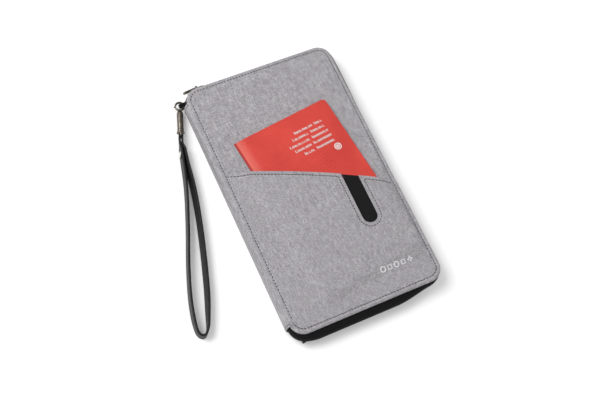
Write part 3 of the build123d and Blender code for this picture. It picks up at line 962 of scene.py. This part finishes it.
def sew(name, line, body, up=None, pitch=stitch_pitch, length=stitch_size[0], width=stitch_size[1]):
    """Stitches along a line of points, with their own surface directions if given."""
    points = [Vector(p) for p in line]
    lengths = [0.0]
    for a, b in zip(points, points[1:]):
        lengths.append(lengths[-1] + (b - a).length)
    count = max(int(lengths[-1] / pitch), 1)
    stitch = bead(length, width, stitch_size[2])
    places = []
    for number in range(count):
        at = (number + 0.5) * lengths[-1] / count
        index = int(np.searchsorted(lengths, at)) - 1
        index = min(max(index, 0), len(points) - 2)
        share = (at - lengths[index]) / max(lengths[index + 1] - lengths[index], 1e-9)
        place = points[index].lerp(points[index + 1], share)
        normal = Vector((0, 0, 1)) if up is None else Vector(up[index])
        places.append(basis(place, points[index + 1] - points[index], normal))
    piece = scatter(name, stitch, places)
    bpy.data.objects.remove(stitch)
    piece.data.materials.append(thread)
    if body:
        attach(piece, body)
    return piece


def front_surface(x, y):
    """Height of the front cloth there: the pocket's below its mouth, else the cover's."""
    for piece in (pocket, front_cloth):
        found, place, _, _ = piece.ray_cast(Vector((x, y, 2 * top_z)), Vector((0, 0, -1)))
        if found:
            return place.z
    return top_z


def back_surface(x, y):
    """Height of the back cover's outer face there."""
    found, place, _, _ = back_cloth.ray_cast(Vector((x, y, -top_z)), Vector((0, 0, 1)))
    return place.z if found else 0.0


def edge_seam(front):
    """The seam round one cover, from notch to notch; the spine's own seam closes it."""
    half_x, half_y, radius = half_w - seam_in, half_l - seam_in, cover_r - seam_in
    whole = outline_length(half_x, half_y, radius)
    skip = half_y - radius - 1 * mm
    line = []
    for distance in np.linspace(skip, whole - skip, 500):
        (x, y), _ = outline_at(distance, half_x, half_y, radius)
        if front:
            z = front_surface(x, y) + stitch_up
        else:
            z = back_surface(x, y) - back_stitch_in
        line.append((x, y, z))
    return line


sew("front_edge_stitches", edge_seam(True), "front_cover")
back_seam = edge_seam(False)
sew("back_edge_stitches", back_seam, "back_cover", up=[(0, 0, -1)] * len(back_seam))
mouth_line = []
for x in np.linspace(spine_seam_x + 1 * mm, half_w - seam_in - 1 * mm, 240):
    outer_way = Vector((x - mouth_cx, mouth_y(x) - mouth_cy)).normalized()
    px = x - outer_way.x * mouth_seam
    py = mouth_y(x) - outer_way.y * mouth_seam
    if slot_gap(px, py) > slot_seam - 0.2 * mm:
        mouth_line.append((px, py, front_surface(px, py) + stitch_up))
left_part = [p for p in mouth_line if p[0] < slot_x]
right_part = [p for p in mouth_line if p[0] > slot_x]
sew("mouth_stitches_left", left_part, "front_cover", length=mouth_stitch)
sew("mouth_stitches_right", right_part, "front_cover", length=mouth_stitch)

slot_line = []
slot_off = slot_r + slot_seam
slot_mid_y = slot_end_y + slot_r
for y in np.linspace(left_part[-1][1], slot_mid_y, 40):
    slot_line.append((slot_x - slot_off, y))
for angle in np.linspace(math.pi, 2 * math.pi, 30)[1:]:
    slot_line.append((slot_x + slot_off * math.cos(angle), slot_mid_y + slot_off * math.sin(angle)))
for y in np.linspace(slot_mid_y, right_part[0][1], 40)[1:]:
    slot_line.append((slot_x + slot_off, y))
slot_line = [(x, y, front_surface(x, y) + stitch_up) for x, y in slot_line]
sew("slot_stitches", slot_line, "front_cover", pitch=slot_pitch)

spine_share = flat_share * (spine_seam_x - wrap_in_x) / (wrap_flat_x - wrap_in_x)
front_line = []
for y in np.linspace(-99 * mm, 99 * mm, 200):
    x, z = wrap_point(np.array(spine_share), np.array(y), False)
    front_line.append((float(x), y, float(z) + stitch_up))
sew("spine_stitches_front", front_line, "front_cover")
wrap_end_in = 1.8 * mm
for end_name, end_y in (("foot", spine_foot_y + wrap_end_in), ("head", spine_head_y - wrap_end_in)):
    for half_name, flip, carrier in (("front", False, "front_cover"), ("back", True, "back_cover")):
        line, ups = [], []
        for share in np.linspace(0.36, 0.97, 20):
            x, z = wrap_point(np.array(share), np.array(end_y), flip)
            x_next, z_next = wrap_point(np.array(share + 0.01), np.array(end_y), flip)
            normal = Vector((float(z_next - z), 0, -float(x_next - x)))
            if flip:
                normal = -normal
            normal.normalize()
            line.append(Vector((float(x), end_y, float(z))) + normal * wrap_stitch_up)
            ups.append(normal)
        name = f"spine_{end_name}_stitches_{half_name}"
        piece = sew(name, line, None, ups, pitch=wrap_pitch, length=wrap_stitch)
        if flip:
            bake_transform(piece)
        else:
            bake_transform(piece)


# ------------------------------------------------------------------ the passport
book_low_z = book_low.z
book_high_z = book_high.z
board_thick = 0.5 * mm
corner_r = 3.0 * mm
spine_round = 1.4 * mm
rim_run = 12 * mm


def book_place(local_x, local_y):
    c, s = math.cos(book_turn), math.sin(book_turn)
    return book_mid.x + local_x * c - local_y * s, book_mid.y + local_x * s + local_y * c


def book_top(local_x):
    """The front board lies highest past its hinge and slopes to the rounded spine."""
    from_spine = local_x + book_w / 2
    slope = 1.3 * mm * (1 - ease(from_spine / (14 * mm) + 0.12))
    lift = 0.12 * mm * ease((local_x + 10 * mm) / (54 * mm))
    return book_high_z - 0.12 * mm - slope + lift


def booklet_cover():
    """Both boards and the rounded spine between them, bent from one sheet."""
    rim_x = np.linspace(book_w / 2, -book_w / 2 + spine_round, 40)
    spine_turn = np.linspace(0, math.pi, 13)[1:-1]
    count = len(rim_x) * 2 + len(spine_turn)
    rows = np.concatenate([
        np.linspace(-book_l / 2, -book_l / 2 + corner_r, 9)[:-1],
        np.linspace(-book_l / 2 + corner_r, book_l / 2 - corner_r, 41)[:-1],
        np.linspace(book_l / 2 - corner_r, book_l / 2, 9)])
    piece, points, column, row = sheet_grid("booklet_cover", np.arange(count) * 1.0, rows)
    spine_mid = -book_w / 2 + spine_round
    spine_x = spine_mid - spine_round * np.sin(spine_turn)
    low = book_low_z + board_thick
    high = book_top(np.array(spine_mid))
    spine_z = (high + low) / 2 + (high - low) / 2 * np.cos(spine_turn)
    xs = np.concatenate([rim_x, spine_x, rim_x[::-1]])
    zs = np.concatenate([book_top(rim_x), spine_z, np.full(len(rim_x), low)])
    x, y, z = xs[column], rows[row], zs[column]
    past = np.maximum(np.abs(y) - (book_l / 2 - corner_r), 0)
    pull_in = corner_r - np.sqrt(np.maximum(corner_r**2 - past**2, 0))
    near_rim = ease((x - (book_w / 2 - rim_run)) / rim_run)
    x = x - pull_in * near_rim
    px, py = book_place(x, y)
    set_points(piece, np.stack([px, py, z], axis=1))
    with_wall(piece, board_thick, 1)
    outward(piece)
    smooth(piece, 50)
    return piece


dress(booklet_cover(), red_cover, "passport", "passport_cover", "passport_cover")


def leaf_block():
    """The leaves, a block whose edge shows fine steps."""
    clear_selection()
    bpy.ops.mesh.primitive_cube_add(size=1)
    block = bpy.context.object
    points = get_points(block)
    low = book_low_z + board_thick
    high = book_high_z - board_thick - 0.15 * mm
    far = book_w / 2 - 0.7 * mm
    near = -book_w / 2 + 3.0 * mm
    half_y = book_l / 2 - 0.7 * mm
    points[:, 0] = np.where(points[:, 0] > 0, far, near)
    points[:, 1] = np.sign(points[:, 1]) * half_y
    points[:, 2] = np.where(points[:, 2] > 0, high, low)
    set_points(block, points)
    pick(block)
    bpy.ops.object.mode_set(mode="EDIT")
    bpy.ops.mesh.select_all(action="SELECT")
    bpy.ops.mesh.subdivide(number_cuts=9)
    bpy.ops.object.mode_set(mode="OBJECT")
    points = get_points(block)
    level = np.rint((points[:, 2] - low) / (high - low) * 10)
    step = 0.12 * mm * np.sin(level * 2.4)
    edge_x = points[:, 0] > far - 0.01 * mm
    edge_y = np.abs(points[:, 1]) > half_y - 0.01 * mm
    sag = book_top(points[:, 0]) - board_thick - high - 0.05 * mm
    share = (points[:, 2] - low) / (high - low)
    points[:, 0] = np.where(edge_x, points[:, 0] + step, points[:, 0])
    points[:, 1] = np.where(edge_y, points[:, 1] + step * np.sign(points[:, 1]), points[:, 1])
    points[:, 2] = points[:, 2] + np.minimum(sag, 0) * share
    px, py = book_place(points[:, 0], points[:, 1])
    set_points(block, np.stack([px, py, points[:, 2]], axis=1))
    block.name = "booklet_leaves"
    smooth(block, 20)
    return block


dress(leaf_block(), pages, "passport", "pages", "passport_pages")

# print on the cover: rows of small upright marks that stand for lines of words
# each row: its level, its two ends in millimetres, and the number of marks before its gap
print_rows = (
    (46.4, 4.7, 32.1, 9),
    (41.4, 0.2, 31.9, 8),
    (36.4, -5.3, 31.2, 10),
    (31.5, -3.0, 31.8, 8),
    (26.3, 3.0, 32.6, 5),
)
mark_step = 1.95 * mm
mark_tall = 1.9 * mm
mark_stem = 0.52 * mm
mark_bar = 0.4 * mm
print_t = 0.05 * mm
print_up = 0.06 * mm
capital = 1.35
lot = np.random.default_rng(31)


def print_mark():
    """One printed mark, a flat bar one unit wide and tall."""
    clear_selection()
    bpy.ops.mesh.primitive_cube_add(size=1)
    piece = bpy.context.object
    piece.scale = (1.0, 1.0, print_t)
    bpy.ops.object.transform_apply(scale=True)
    return piece


def mark_matrix(local_x, local_y, wide, tall, lean=0.0, up=print_up):
    """Places a unit mark on the front board, which slopes a little."""
    px, py = book_place(local_x, local_y)
    top = float(book_top(np.array(local_x)))
    slope = float(book_top(np.array(local_x + 0.5 * mm)) - book_top(np.array(local_x - 0.5 * mm))) / mm
    turn = Matrix.Rotation(book_turn + lean, 4, "Z") @ Matrix.Rotation(-math.atan(slope), 4, "Y")
    size = Matrix.Diagonal((wide, tall, 1, 1))
    return Matrix.Translation((px, py, top + up)) @ turn @ size


places = []
for row_y, row_start, row_end, gap_after in print_rows:
    number = 0
    at = row_start * mm
    while at < row_end * mm - 0.8 * mm:
        if number != gap_after:
            tall = mark_tall * (capital if number in (0, gap_after + 1) else 1.0)
            y = row_y * mm
            kind = lot.integers(0, 3)
            places.append(mark_matrix(at, y + (tall - mark_tall) / 2, mark_stem, tall))
            if kind > 0:
                places.append(mark_matrix(at + 1.05 * mm, y, mark_stem, mark_tall))
            cross_y = y + (mark_tall / 2 - mark_bar / 2) * (1 if kind == 1 else -1)
            places.append(mark_matrix(at + 0.5 * mm, cross_y, 1.3 * mm, mark_bar))
            if kind == 2:
                places.append(mark_matrix(at + 0.5 * mm, y + 0.1 * mm, 1.2 * mm, 0.36 * mm))
        at += mark_step
        number += 1
template = print_mark()
words = scatter("cover_print", template, places)
bpy.data.objects.remove(template)
dress(words, white_print, "passport", "passport_cover")

emblem_x, emblem_y = 30.6 * mm, 19.6 * mm
emblem_parts = []
for radius, thick in ((2.7 * mm, 0.42 * mm), (1.1 * mm, 0.5 * mm)):
    clear_selection()
    bpy.ops.mesh.primitive_torus_add(major_radius=radius, minor_radius=thick,
                                     major_segments=40, minor_segments=8)
    ring = bpy.context.object
    ring.scale = (1, 1, 0.12)
    bpy.ops.object.transform_apply(scale=True)
    ring.data.transform(mark_matrix(emblem_x, emblem_y, 1.0, 1.0, up=print_up / 2))
    emblem_parts.append(ring)
emblem = join(*emblem_parts)
emblem.name = "cover_emblem"
bpy.ops.object.shade_smooth()
dress(emblem, white_print, "passport", "passport_cover")

# the pressed relief: small grains in slanting rows below the print, sunk almost flush, in a darker red that
# is painted shade of the pressed dents
dent = bead(1.9 * mm, 0.6 * mm, 0.16 * mm)
dent_rows = 7
dent_row_step = 2.9 * mm
dent_step = 3.1
dent_shift = 1.1
dent_share = 0.78
dent_slant = 0.12
dent_lean = 0.35
dent_sunk = 0.05 * mm
places = []
for row_number in range(dent_rows):
    row_y = 20.0 * mm - row_number * dent_row_step
    for at in np.arange(-22.0, 20.0, dent_step):
        if lot.random() < dent_share:
            local_x = (at + dent_shift * (row_number % 3)) * mm
            places.append(mark_matrix(local_x, row_y + local_x * dent_slant, 1, 1, dent_lean, -dent_sunk))
pressed = scatter("cover_relief", dent, places)
bpy.data.objects.remove(dent)
dress(pressed, dent_shade_red, "passport", "passport_cover")


# ------------------------------------------------------------------ the mark on the pocket
mark_y = -90.5 * mm
mark_left = 18.6 * mm
mark_tall = 3.4 * mm
mark_wire = 0.46 * mm


def ring_mark(x, radius):
    count = 28
    turns = [2 * math.pi * number / count for number in range(count + 1)]
    return [(x + radius * math.cos(turn), radius * math.sin(turn)) for turn in turns]


def rod(name, paths, width, level):
    """Thin flat rods along the given paths, lying on the pocket cloth."""
    curve = bpy.data.curves.new(name, "CURVE")
    curve.dimensions = "3D"
    curve.bevel_depth = width
    curve.bevel_resolution = 2
    curve.use_fill_caps = True
    for path in paths:
        spline = curve.splines.new("POLY")
        spline.points.add(len(path) - 1)
        for point, (x, y) in zip(spline.points, path):
            height = front_surface(x, mark_y + y) + level
            point.co = (x, mark_y + y, height, 1)
    piece = bpy.data.objects.new(name, curve)
    bpy.context.scene.collection.objects.link(piece)
    pick(piece)
    bpy.ops.object.convert(target="MESH")
    return bpy.context.object


mark_r = 2.0 * mm
mark_gap = 6.1 * mm
square_half = 0.8 * mark_r
star_x = mark_left + 26.6 * mm
star_r = 2.2 * mm
star_waist = 0.4
star = []
for number, angle in enumerate(np.linspace(0, 2 * math.pi, 9)):
    reach = star_r * (1 if number % 2 == 0 else star_waist)
    star.append((star_x + reach * math.cos(angle), reach * math.sin(angle)))


def square_mark(x, half):
    return [(x - half, -half), (x + half, -half), (x + half, half), (x - half, half), (x - half, -half)]


mark_paths = [
    ring_mark(mark_left + mark_r, mark_r),
    square_mark(mark_left + mark_gap + mark_r, square_half),
    ring_mark(mark_left + 2 * mark_gap + mark_r, mark_r),
    square_mark(mark_left + 3 * mark_gap + mark_r, square_half),
    star,
]
mark = rod("pocket_mark", mark_paths, mark_wire, 0.02 * mm)
smooth(mark, 60)
dress(mark, silver_print, "front_cover", "badge", "pocket_badge")


# ------------------------------------------------------------------ tab, clasp and strap
clasp_z = (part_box("clasp_hook")[0].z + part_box("clasp_hook")[1].z) / 2
clasp_past_fold = 4.5 * mm
clasp_from_end = 6 * mm
clasp = Vector((fold_x - clasp_past_fold, half_l - clasp_from_end, clasp_z))
clasp_turn = math.radians(-110.2)
along = Vector((math.cos(clasp_turn), math.sin(clasp_turn), 0))
across = Vector((-along.y, along.x, 0))
eye_at = 28 * mm
eye = clasp + along * eye_at
hook_mid_r = 3.6 * mm
hook_wire_r = 0.9 * mm
gate_wire_r = 0.68 * mm
loop_wire_r = 0.85 * mm


def band(name, path, ups, widths, thicks, groove=0.0):
    """A flat band along path: ups gives the way its width stands at each point."""
    half = [(-0.5, -0.28), (-0.46, -0.5), (-0.40, -0.5), (-0.385, -0.5 + groove), (-0.37, -0.5),
            (0.37, -0.5), (0.385, -0.5 + groove), (0.40, -0.5), (0.46, -0.5), (0.5, -0.28)]
    section = half + [(u, -t) for u, t in reversed(half)]
    count = len(section)
    piece, points, column, row = sheet_grid(name, np.arange(count + 1) * 1.0, np.arange(len(path)) * 1.0)
    path = np.array(path)
    ups = np.array(ups)
    forward = np.gradient(path, axis=0)
    forward /= np.linalg.norm(forward, axis=1)[:, None]
    ups = ups - forward * np.sum(ups * forward, axis=1)[:, None]
    ups /= np.linalg.norm(ups, axis=1)[:, None]
    side = np.cross(forward, ups)
    u = np.array([point[0] for point in section])[column % count] * np.array(widths)[row]
    t = np.array([point[1] for point in section])[column % count] * np.array(thicks)[row]
    set_points(piece, path[row] + ups[row] * u[:, None] + side[row] * t[:, None])
    pick(piece)
    bpy.ops.object.mode_set(mode="EDIT")
    bpy.ops.mesh.select_mode(type="VERT")
    bpy.ops.mesh.select_all(action="SELECT")
    bpy.ops.mesh.remove_doubles(threshold=0.000001)
    bpy.ops.mesh.select_all(action="DESELECT")
    bpy.ops.mesh.select_mode(type="EDGE")
    bpy.ops.mesh.select_non_manifold()
    bpy.ops.mesh.edge_face_add()
    bpy.ops.mesh.select_all(action="SELECT")
    bpy.ops.mesh.normals_make_consistent(inside=False)
    bpy.ops.object.mode_set(mode="OBJECT")
    smooth(piece, 50)
    return piece


# the strap's bends, from the swivel eye, in millimetres
strap_bends = (
    (-4.53, -20.72), (-7.63, -44.72), (-14.93, -75.72), (-24.13, -107.22), (-32.63, -133.72),
    (-38.53, -148.72), (-42.53, -159.22), (-47.33, -164.62), (-51.93, -161.22), (-50.93, -150.22),
    (-46.53, -131.72), (-37.63, -106.22), (-25.23, -76.22), (-13.73, -45.22), (-8.23, -25.22),
)
strap_w = 9.5 * mm
strap_t = 1.8 * mm
tongue_run = 6 * mm
tongue = eye + along * tongue_run
eye_w = 6.6 * mm
lean_first = -19
lean_last = 10
leg_side = 0.95 * mm
strap_z = strap_w / 2
strap_start = tongue + across * leg_side
strap_end = tongue - across * leg_side
route = [(strap_start.x, strap_start.y, strap_z)]
for step_x, step_y in strap_bends:
    route.append((eye.x + step_x * mm, eye.y + step_y * mm, strap_z))
route.append((strap_end.x, strap_end.y, strap_z))


def smooth_route(points, resolution):
    """Points along the smooth curve that the route's points pull into shape."""
    curve = bpy.data.curves.new("strap_route", "CURVE")
    curve.dimensions = "3D"
    curve.resolution_u = resolution
    spline = curve.splines.new("NURBS")
    spline.points.add(len(points) - 1)
    for point, place in zip(spline.points, points):
        point.co = (*place, 1)
    spline.order_u = 3
    spline.use_endpoint_u = True
    holder = bpy.data.objects.new("strap_route", curve)
    line = bpy.data.meshes.new_from_object(holder)
    path = [vertex.co.copy() for vertex in line.vertices]
    bpy.data.objects.remove(holder)
    return path


strap_path = smooth_route(route, 14)
strap_run = np.array([0.0] + list(np.cumsum([(b - a).length for a, b in zip(strap_path, strap_path[1:])])))
strap_length = float(strap_run[-1])
from_end = np.minimum(strap_run, strap_length - strap_run)
spread = ease(from_end / (7 * mm))
run_share = strap_run / strap_length
lean_far = lean_first + (lean_last - lean_first) * ease((run_share - 0.4) / 0.16)
strap_lean = np.radians(lean_far) * ease((from_end - 0.5 * mm) / (5.5 * mm))
strap_widths = eye_w + (strap_w - eye_w) * spread
strap_thicks = np.full(len(strap_path), strap_t)
strap_line = np.array([tuple(point) for point in strap_path])
strap_forward = np.gradient(strap_line, axis=0)
strap_forward /= np.linalg.norm(strap_forward, axis=1)[:, None]
inward = np.stack([strap_forward[:, 1], -strap_forward[:, 0], 0 * strap_run], axis=1)
ups = inward * np.sin(strap_lean)[:, None] + np.outer(np.cos(strap_lean), (0, 0, 1))
rest_z = strap_w / 2 * np.cos(strap_lean) + strap_t / 2 * np.abs(np.sin(strap_lean))
strap_line[:, 2] = np.maximum(rest_z, strap_widths / 2)
strap_path = [Vector(point) for point in strap_line]
strap = band("strap", strap_path, ups, strap_widths, strap_thicks, groove=0.12)
dress(strap, hide, "strap", "strap_leather", "wrist_strap")

fold_mid_r = 1.5 * mm
fold_run = 6.3 * mm
fold_w = 6.4 * mm
fold_t = 1.0 * mm
fold_grow = 0.8 * mm
fold_path, fold_thicks = [], []


def fold_leg(shares, side):
    """One side of the fold round the eye, from the tongue (share 1) to the eye (share 0)."""
    for share in shares:
        out = side * (fold_mid_r + (leg_side - fold_mid_r) * share)
        fold_path.append(eye + along * fold_run * share + across * out)
        fold_thicks.append(fold_t + fold_grow * share)


fold_leg(np.linspace(1, 0, 9)[:-1], 1)
for angle in np.linspace(0, math.pi, 15):
    fold_path.append(eye + across * fold_mid_r * math.cos(angle) - along * fold_mid_r * math.sin(angle))
    fold_thicks.append(fold_t)
fold_leg(np.linspace(0, 1, 9)[1:], -1)
fold_count = len(fold_path)
fold_ups = [(0, 0, 1)] * fold_count
fold = band("strap_fold_band", fold_path, fold_ups, [fold_w] * fold_count, fold_thicks, groove=0.08)
dress(fold, hide, "strap", "strap_leather", "strap_fold")


def turned(name, outline, place, axis, steps=40):
    """A round solid: its half outline (radius, height) spun about the axis."""
    clear_selection()
    bpy.ops.mesh.primitive_circle_add(vertices=len(outline), radius=1, fill_type="NOTHING")
    piece = bpy.context.object
    points = get_points(piece)
    for index, (radius, height) in enumerate(outline):
        points[index] = (radius, 0, height)
    set_points(piece, points)
    bpy.ops.object.mode_set(mode="EDIT")
    bpy.ops.mesh.select_all(action="SELECT")
    bpy.ops.mesh.spin(steps=steps, angle=2 * math.pi, center=(0, 0, 0), axis=(0, 0, 1))
    bpy.ops.mesh.select_all(action="SELECT")
    bpy.ops.mesh.remove_doubles(threshold=0.000002)
    bpy.ops.mesh.delete_loose()
    bpy.ops.mesh.select_all(action="SELECT")
    bpy.ops.mesh.normals_make_consistent(inside=False)
    bpy.ops.object.mode_set(mode="OBJECT")
    turn = Vector(axis).to_track_quat("Z", "Y").to_matrix().to_4x4()
    piece.data.transform(Matrix.Translation(place) @ turn)
    piece.name = name
    piece.data.name = name
    smooth(piece, 35)
    return piece


def outline_mm(pairs):
    return [(r * mm, h * mm) for r, h in pairs]


def wire(name, path, radii, closed=False):
    """A round wire along path whose radius may change."""
    curve = bpy.data.curves.new(name, "CURVE")
    curve.dimensions = "3D"
    curve.bevel_depth = 1.0
    curve.bevel_resolution = 5
    curve.use_fill_caps = True
    spline = curve.splines.new("POLY")
    spline.points.add(len(path) - 1)
    for point, place, radius in zip(spline.points, path, radii):
        point.co = (*place, 1)
        point.radius = radius
    spline.use_cyclic_u = closed
    piece = bpy.data.objects.new(name, curve)
    bpy.context.scene.collection.objects.link(piece)
    pick(piece)
    bpy.ops.object.convert(target="MESH")
    piece = bpy.context.object
    smooth(piece, 50)
    return piece


def ring_point(angle, radius=hook_mid_r):
    """A point on the hook's ring, that many degrees from the clasp's long way."""
    a = math.radians(angle)
    return clasp + along * radius * math.cos(a) + across * radius * math.sin(a)


# hook: a root on the barrel, a ring of wire left open for the gate, and a ball at its tip
hook_from, hook_to = -60, 240
hook_path = [ring_point(angle) for angle in np.linspace(hook_from, hook_to, 56)]
hook = wire("clasp_hook_wire", hook_path, [hook_wire_r] * len(hook_path))
root = turned("clasp_hook_root", outline_mm((
    (0, 0), (0.9, 0), (1.0, 0.5), (1.3, 1.0), (2.0, 1.5), (2.1, 1.8), (1.5, 2.2), (0, 2.2))),
    clasp + along * 3.5 * mm, along)
hook_tip = bead(2.2 * mm, 2.0 * mm, 2.0 * mm, 16, 10)
hook_tip.data.transform(Matrix.Translation(ring_point(hook_to)))
bpy.ops.object.shade_smooth()
hook = join(hook, root, hook_tip)
dress(hook, old_nickel, "clasp", "metal", "clasp_hook")

gate_path = [ring_point(angle) for angle in np.linspace(-113, -68, 14)]
gate = wire("clasp_gate_wire", gate_path, [gate_wire_r] * len(gate_path))
lever = bead(1.6 * mm, 1.0 * mm, 1.1 * mm, 14, 8)
lever.data.transform(basis(ring_point(-80, 4.5 * mm), along, (0, 0, 1)))
bpy.ops.object.shade_smooth()
dress(join(gate, lever), old_nickel, "gate", "metal", "clasp_gate")

barrel_at = 5.6 * mm
collar_at = 23.9 * mm
barrel = turned("clasp_barrel_turned", outline_mm((
    (0, 0), (1.9, 0), (2.35, 0.2), (2.65, 0.7), (2.7, 1.3), (2.5, 1.5), (2.5, 1.8), (2.7, 2.0),
    (2.75, 3.0), (2.7, 15.6), (2.5, 15.8), (2.5, 16.1), (2.75, 16.3), (2.8, 17.2), (2.5, 17.8),
    (2.1, 18.0), (1.15, 18.0), (1.15, 13.6), (0, 13.6))), clasp + along * barrel_at, along)
dress(barrel, old_nickel, "clasp", "metal", "clasp_barrel")

collar = turned("swivel_collar", outline_mm((
    (0, -4.0), (0.95, -4.0), (1.0, 0), (3.0, 0), (3.35, 0.25), (3.4, 0.6), (3.3, 1.0), (2.9, 1.2),
    (1.6, 1.35), (0, 1.4))), clasp + along * collar_at, along)
loop_path = []
loop_half = 3.95 * mm
loop_corner = 1.0 * mm
near_at = 25.0 * mm
for centre_at, rise, first in ((eye_at - loop_corner, -1, -90), (eye_at - loop_corner, 1, 0),
                               (near_at + loop_corner, 1, 90), (near_at + loop_corner, -1, 180)):
    for angle in np.linspace(first, first + 90, 7):
        a = math.radians(angle)
        height = rise * (loop_half - loop_corner) + loop_corner * math.sin(a)
        loop_path.append(clasp + along * (centre_at + loop_corner * math.cos(a)) + Vector((0, 0, height)))
loop = wire("swivel_loop", loop_path, [loop_wire_r] * len(loop_path), closed=True)
swivel = join(collar, loop)
dress(swivel, old_nickel, "swivel", "metal", "swivel_eye")

# rivet through both layers of the strap
rivet_low, rivet_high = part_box("rivet_cap")
rivet_place = (rivet_low + rivet_high) / 2
post_low, post_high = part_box("rivet_post")
post_place = (post_low + post_high) / 2
rivet_out = rivet_place - post_place
rivet_out.z = 0
rivet_out.normalize()
rivet_tilt = math.radians(11)
rivet_down = 0.1 * mm
rivet_out.z = math.tan(rivet_tilt)
rivet_place.z = strap_w / 2 - rivet_down
cap = turned("rivet_dome", outline_mm((
    (0, -0.5), (2.9, -0.5), (3.15, -0.3), (3.2, 0.0), (3.0, 0.25), (2.2, 0.5), (1.2, 0.68), (0, 0.75))),
    rivet_place, rivet_out)
dress(cap, bright_nickel, "strap", "metal", "rivet_cap")

# tab: a woven band from the spine's head round the hook and back
tab_in_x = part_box("strap_tab")[1].x
tab_turn_x = fold_x - 3.8 * mm
tab_r = 1.35 * mm
tab_gap = 0.25 * mm
tab_turn_run = 1.1 * mm
tab_t = 0.55 * mm
tab_thin_w = 3.0 * mm
tab_more_w = 2.6 * mm
upper_z = clasp.z + tab_r + tab_gap
lower_z = clasp.z - tab_r - tab_gap
tab_path = [Vector((x, clasp.y, upper_z)) for x in np.linspace(tab_in_x, tab_turn_x, 12)]
for angle in np.linspace(90, 270, 15)[1:-1]:
    a = math.radians(angle)
    tab_path.append(Vector((tab_turn_x + tab_turn_run * math.cos(a), clasp.y,
                            clasp.z + (tab_r + tab_gap) * math.sin(a))))
tab_path += [Vector((x, clasp.y, lower_z)) for x in np.linspace(tab_turn_x, tab_in_x, 12)]
tab_widths = [tab_thin_w + tab_more_w * float(ease((place.x - fold_x) / (3 * mm))) for place in tab_path]
tab = band("tab_band", tab_path, [(0, 1, 0)] * len(tab_path), tab_widths, [tab_t] * len(tab_path))
dress(tab, tape_cloth, "back_cover", "zip_tape", "strap_tab")


# ------------------------------------------------------------------ the inside
spine_in_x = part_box("spine_lining")[1].x
lining_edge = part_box("back_cover_lining")[1].x
hem_w = 4.0 * mm
hem_t = 0.3 * mm
inner_stitch = 0.42 * mm
inner_up = 0.05 * mm
lining_seam_in = 2.2 * mm
side_seam_in = 1.6 * mm
gusset_t = 0.2 * mm
gusset_run = 100 * mm
# the gusset's line over the fold: how far out from the spine and how far above the lining, in millimetres
gusset_bends = ((4.7, 0.12), (2.5, 0.16), (1.1, 0.5), (0.55, 1.3), (0.4, 2.4), (0.35, 3.4))


def gusset(name, flip):
    """Lining cloth that carries on from a cover to the spine, over the fold."""
    profile = [(spine_in_x + out * mm, back_high_z + up * mm) for out, up in gusset_bends]
    rows = np.linspace(-gusset_run, gusset_run, 41)
    piece, points, column, row = sheet_grid(name, np.arange(len(profile)) * 1.0, rows)
    place = np.array(profile)[column]
    z = top_z - place[:, 1] if flip else place[:, 1]
    set_points(piece, np.stack([place[:, 0], rows[row], z], axis=1))
    smoother = piece.modifiers.new("rounder", "SUBSURF")
    smoother.levels = 1
    with_wall(piece, gusset_t, 0)
    outward(piece)
    smooth(piece, 60)
    piece.data.materials.append(lining_cloth)
    return piece


inner_back = gusset("lining_gusset_back", False)
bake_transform(inner_back)
inner_front = gusset("lining_gusset_front", True)
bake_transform(inner_front)


def hem(node, body, face_z, facing):
    """A bound top edge and its stitches on one inside pocket."""
    low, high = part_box(node)
    level = face_z + facing * hem_t / 2
    line = [(x, high.y - hem_w / 2, level) for x in np.linspace(low.x + 0.4 * mm, high.x - 0.4 * mm, 30)]
    strip = band(f"{node}_hem", line, [(0, 1, 0)] * len(line), [hem_w] * len(line), [hem_t] * len(line))
    dress(strip, tape_cloth, body)
    seam = [(x, high.y - hem_w + 0.7 * mm, face_z + facing * (hem_t + inner_up)) for x, _, _ in line]
    sew(f"{node}_stitches", seam, body, [(0, 0, facing)] * len(seam), width=inner_stitch)


hem("document_pocket", "back_cover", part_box("document_pocket")[1].z, 1)
for number in range(1, 5):
    panel = f"card_slot_panel_{number}"
    hem(panel, "front_cover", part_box(panel)[0].z, -1)


def inner_seam(name, body, level, facing):
    """The seam that closes a cover's lining, all round."""
    inset = half_w - lining_edge + lining_seam_in
    half_x, half_y, radius = half_w - inset, half_l - inset, cover_r - inset
    whole = outline_length(half_x, half_y, radius)
    line = []
    for distance in np.linspace(0, whole, 400):
        (x, y), _ = outline_at(distance, half_x, half_y, radius)
        line.append((x, y, level + facing * inner_up))
    sew(name, line, body, [(0, 0, facing)] * len(line), width=inner_stitch)


inner_seam("back_lining_stitches", "back_cover", back_high_z, 1)
inner_seam("front_lining_stitches", "front_cover", front_low_z, -1)


def side_seams(node, body, face_z, facing):
    """Stitches down both sides and along the foot of an inside pocket."""
    low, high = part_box(node)
    inset = side_seam_in
    level = face_z + facing * inner_up
    run = [(low.x + inset, high.y - hem_w, level), (low.x + inset, low.y + inset, level),
           (high.x - inset, low.y + inset, level), (high.x - inset, high.y - hem_w, level)]
    sew(f"{node}_side_stitches", run, body, [(0, 0, facing)] * len(run), width=inner_stitch)


side_seams("document_pocket", "back_cover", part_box("document_pocket")[1].z, 1)
side_seams("card_slot_panel_4", "front_cover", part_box("card_slot_panel_4")[0].z, -1)


# ------------------------------------------------------------------ finishes of the pieces kept as built
def repaint(material, *nodes):
    for node in nodes:
        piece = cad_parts[node]
        piece.data.materials.clear()
        piece.data.materials.append(material)


repaint(stiff_board, "back_cover_board", "front_cover_board", "spine_board")
repaint(lining_cloth, "back_cover_lining", "front_cover_lining", "spine_lining", "document_pocket")
repaint(lining_cloth, *[f"card_slot_panel_{number}" for number in range(1, 5)])
repaint(coil_nylon, "zip_stop_top", "zip_stop_foot")
repaint(old_nickel, "zip_slider", "zip_pull")
repaint(bright_nickel, "rivet_post")
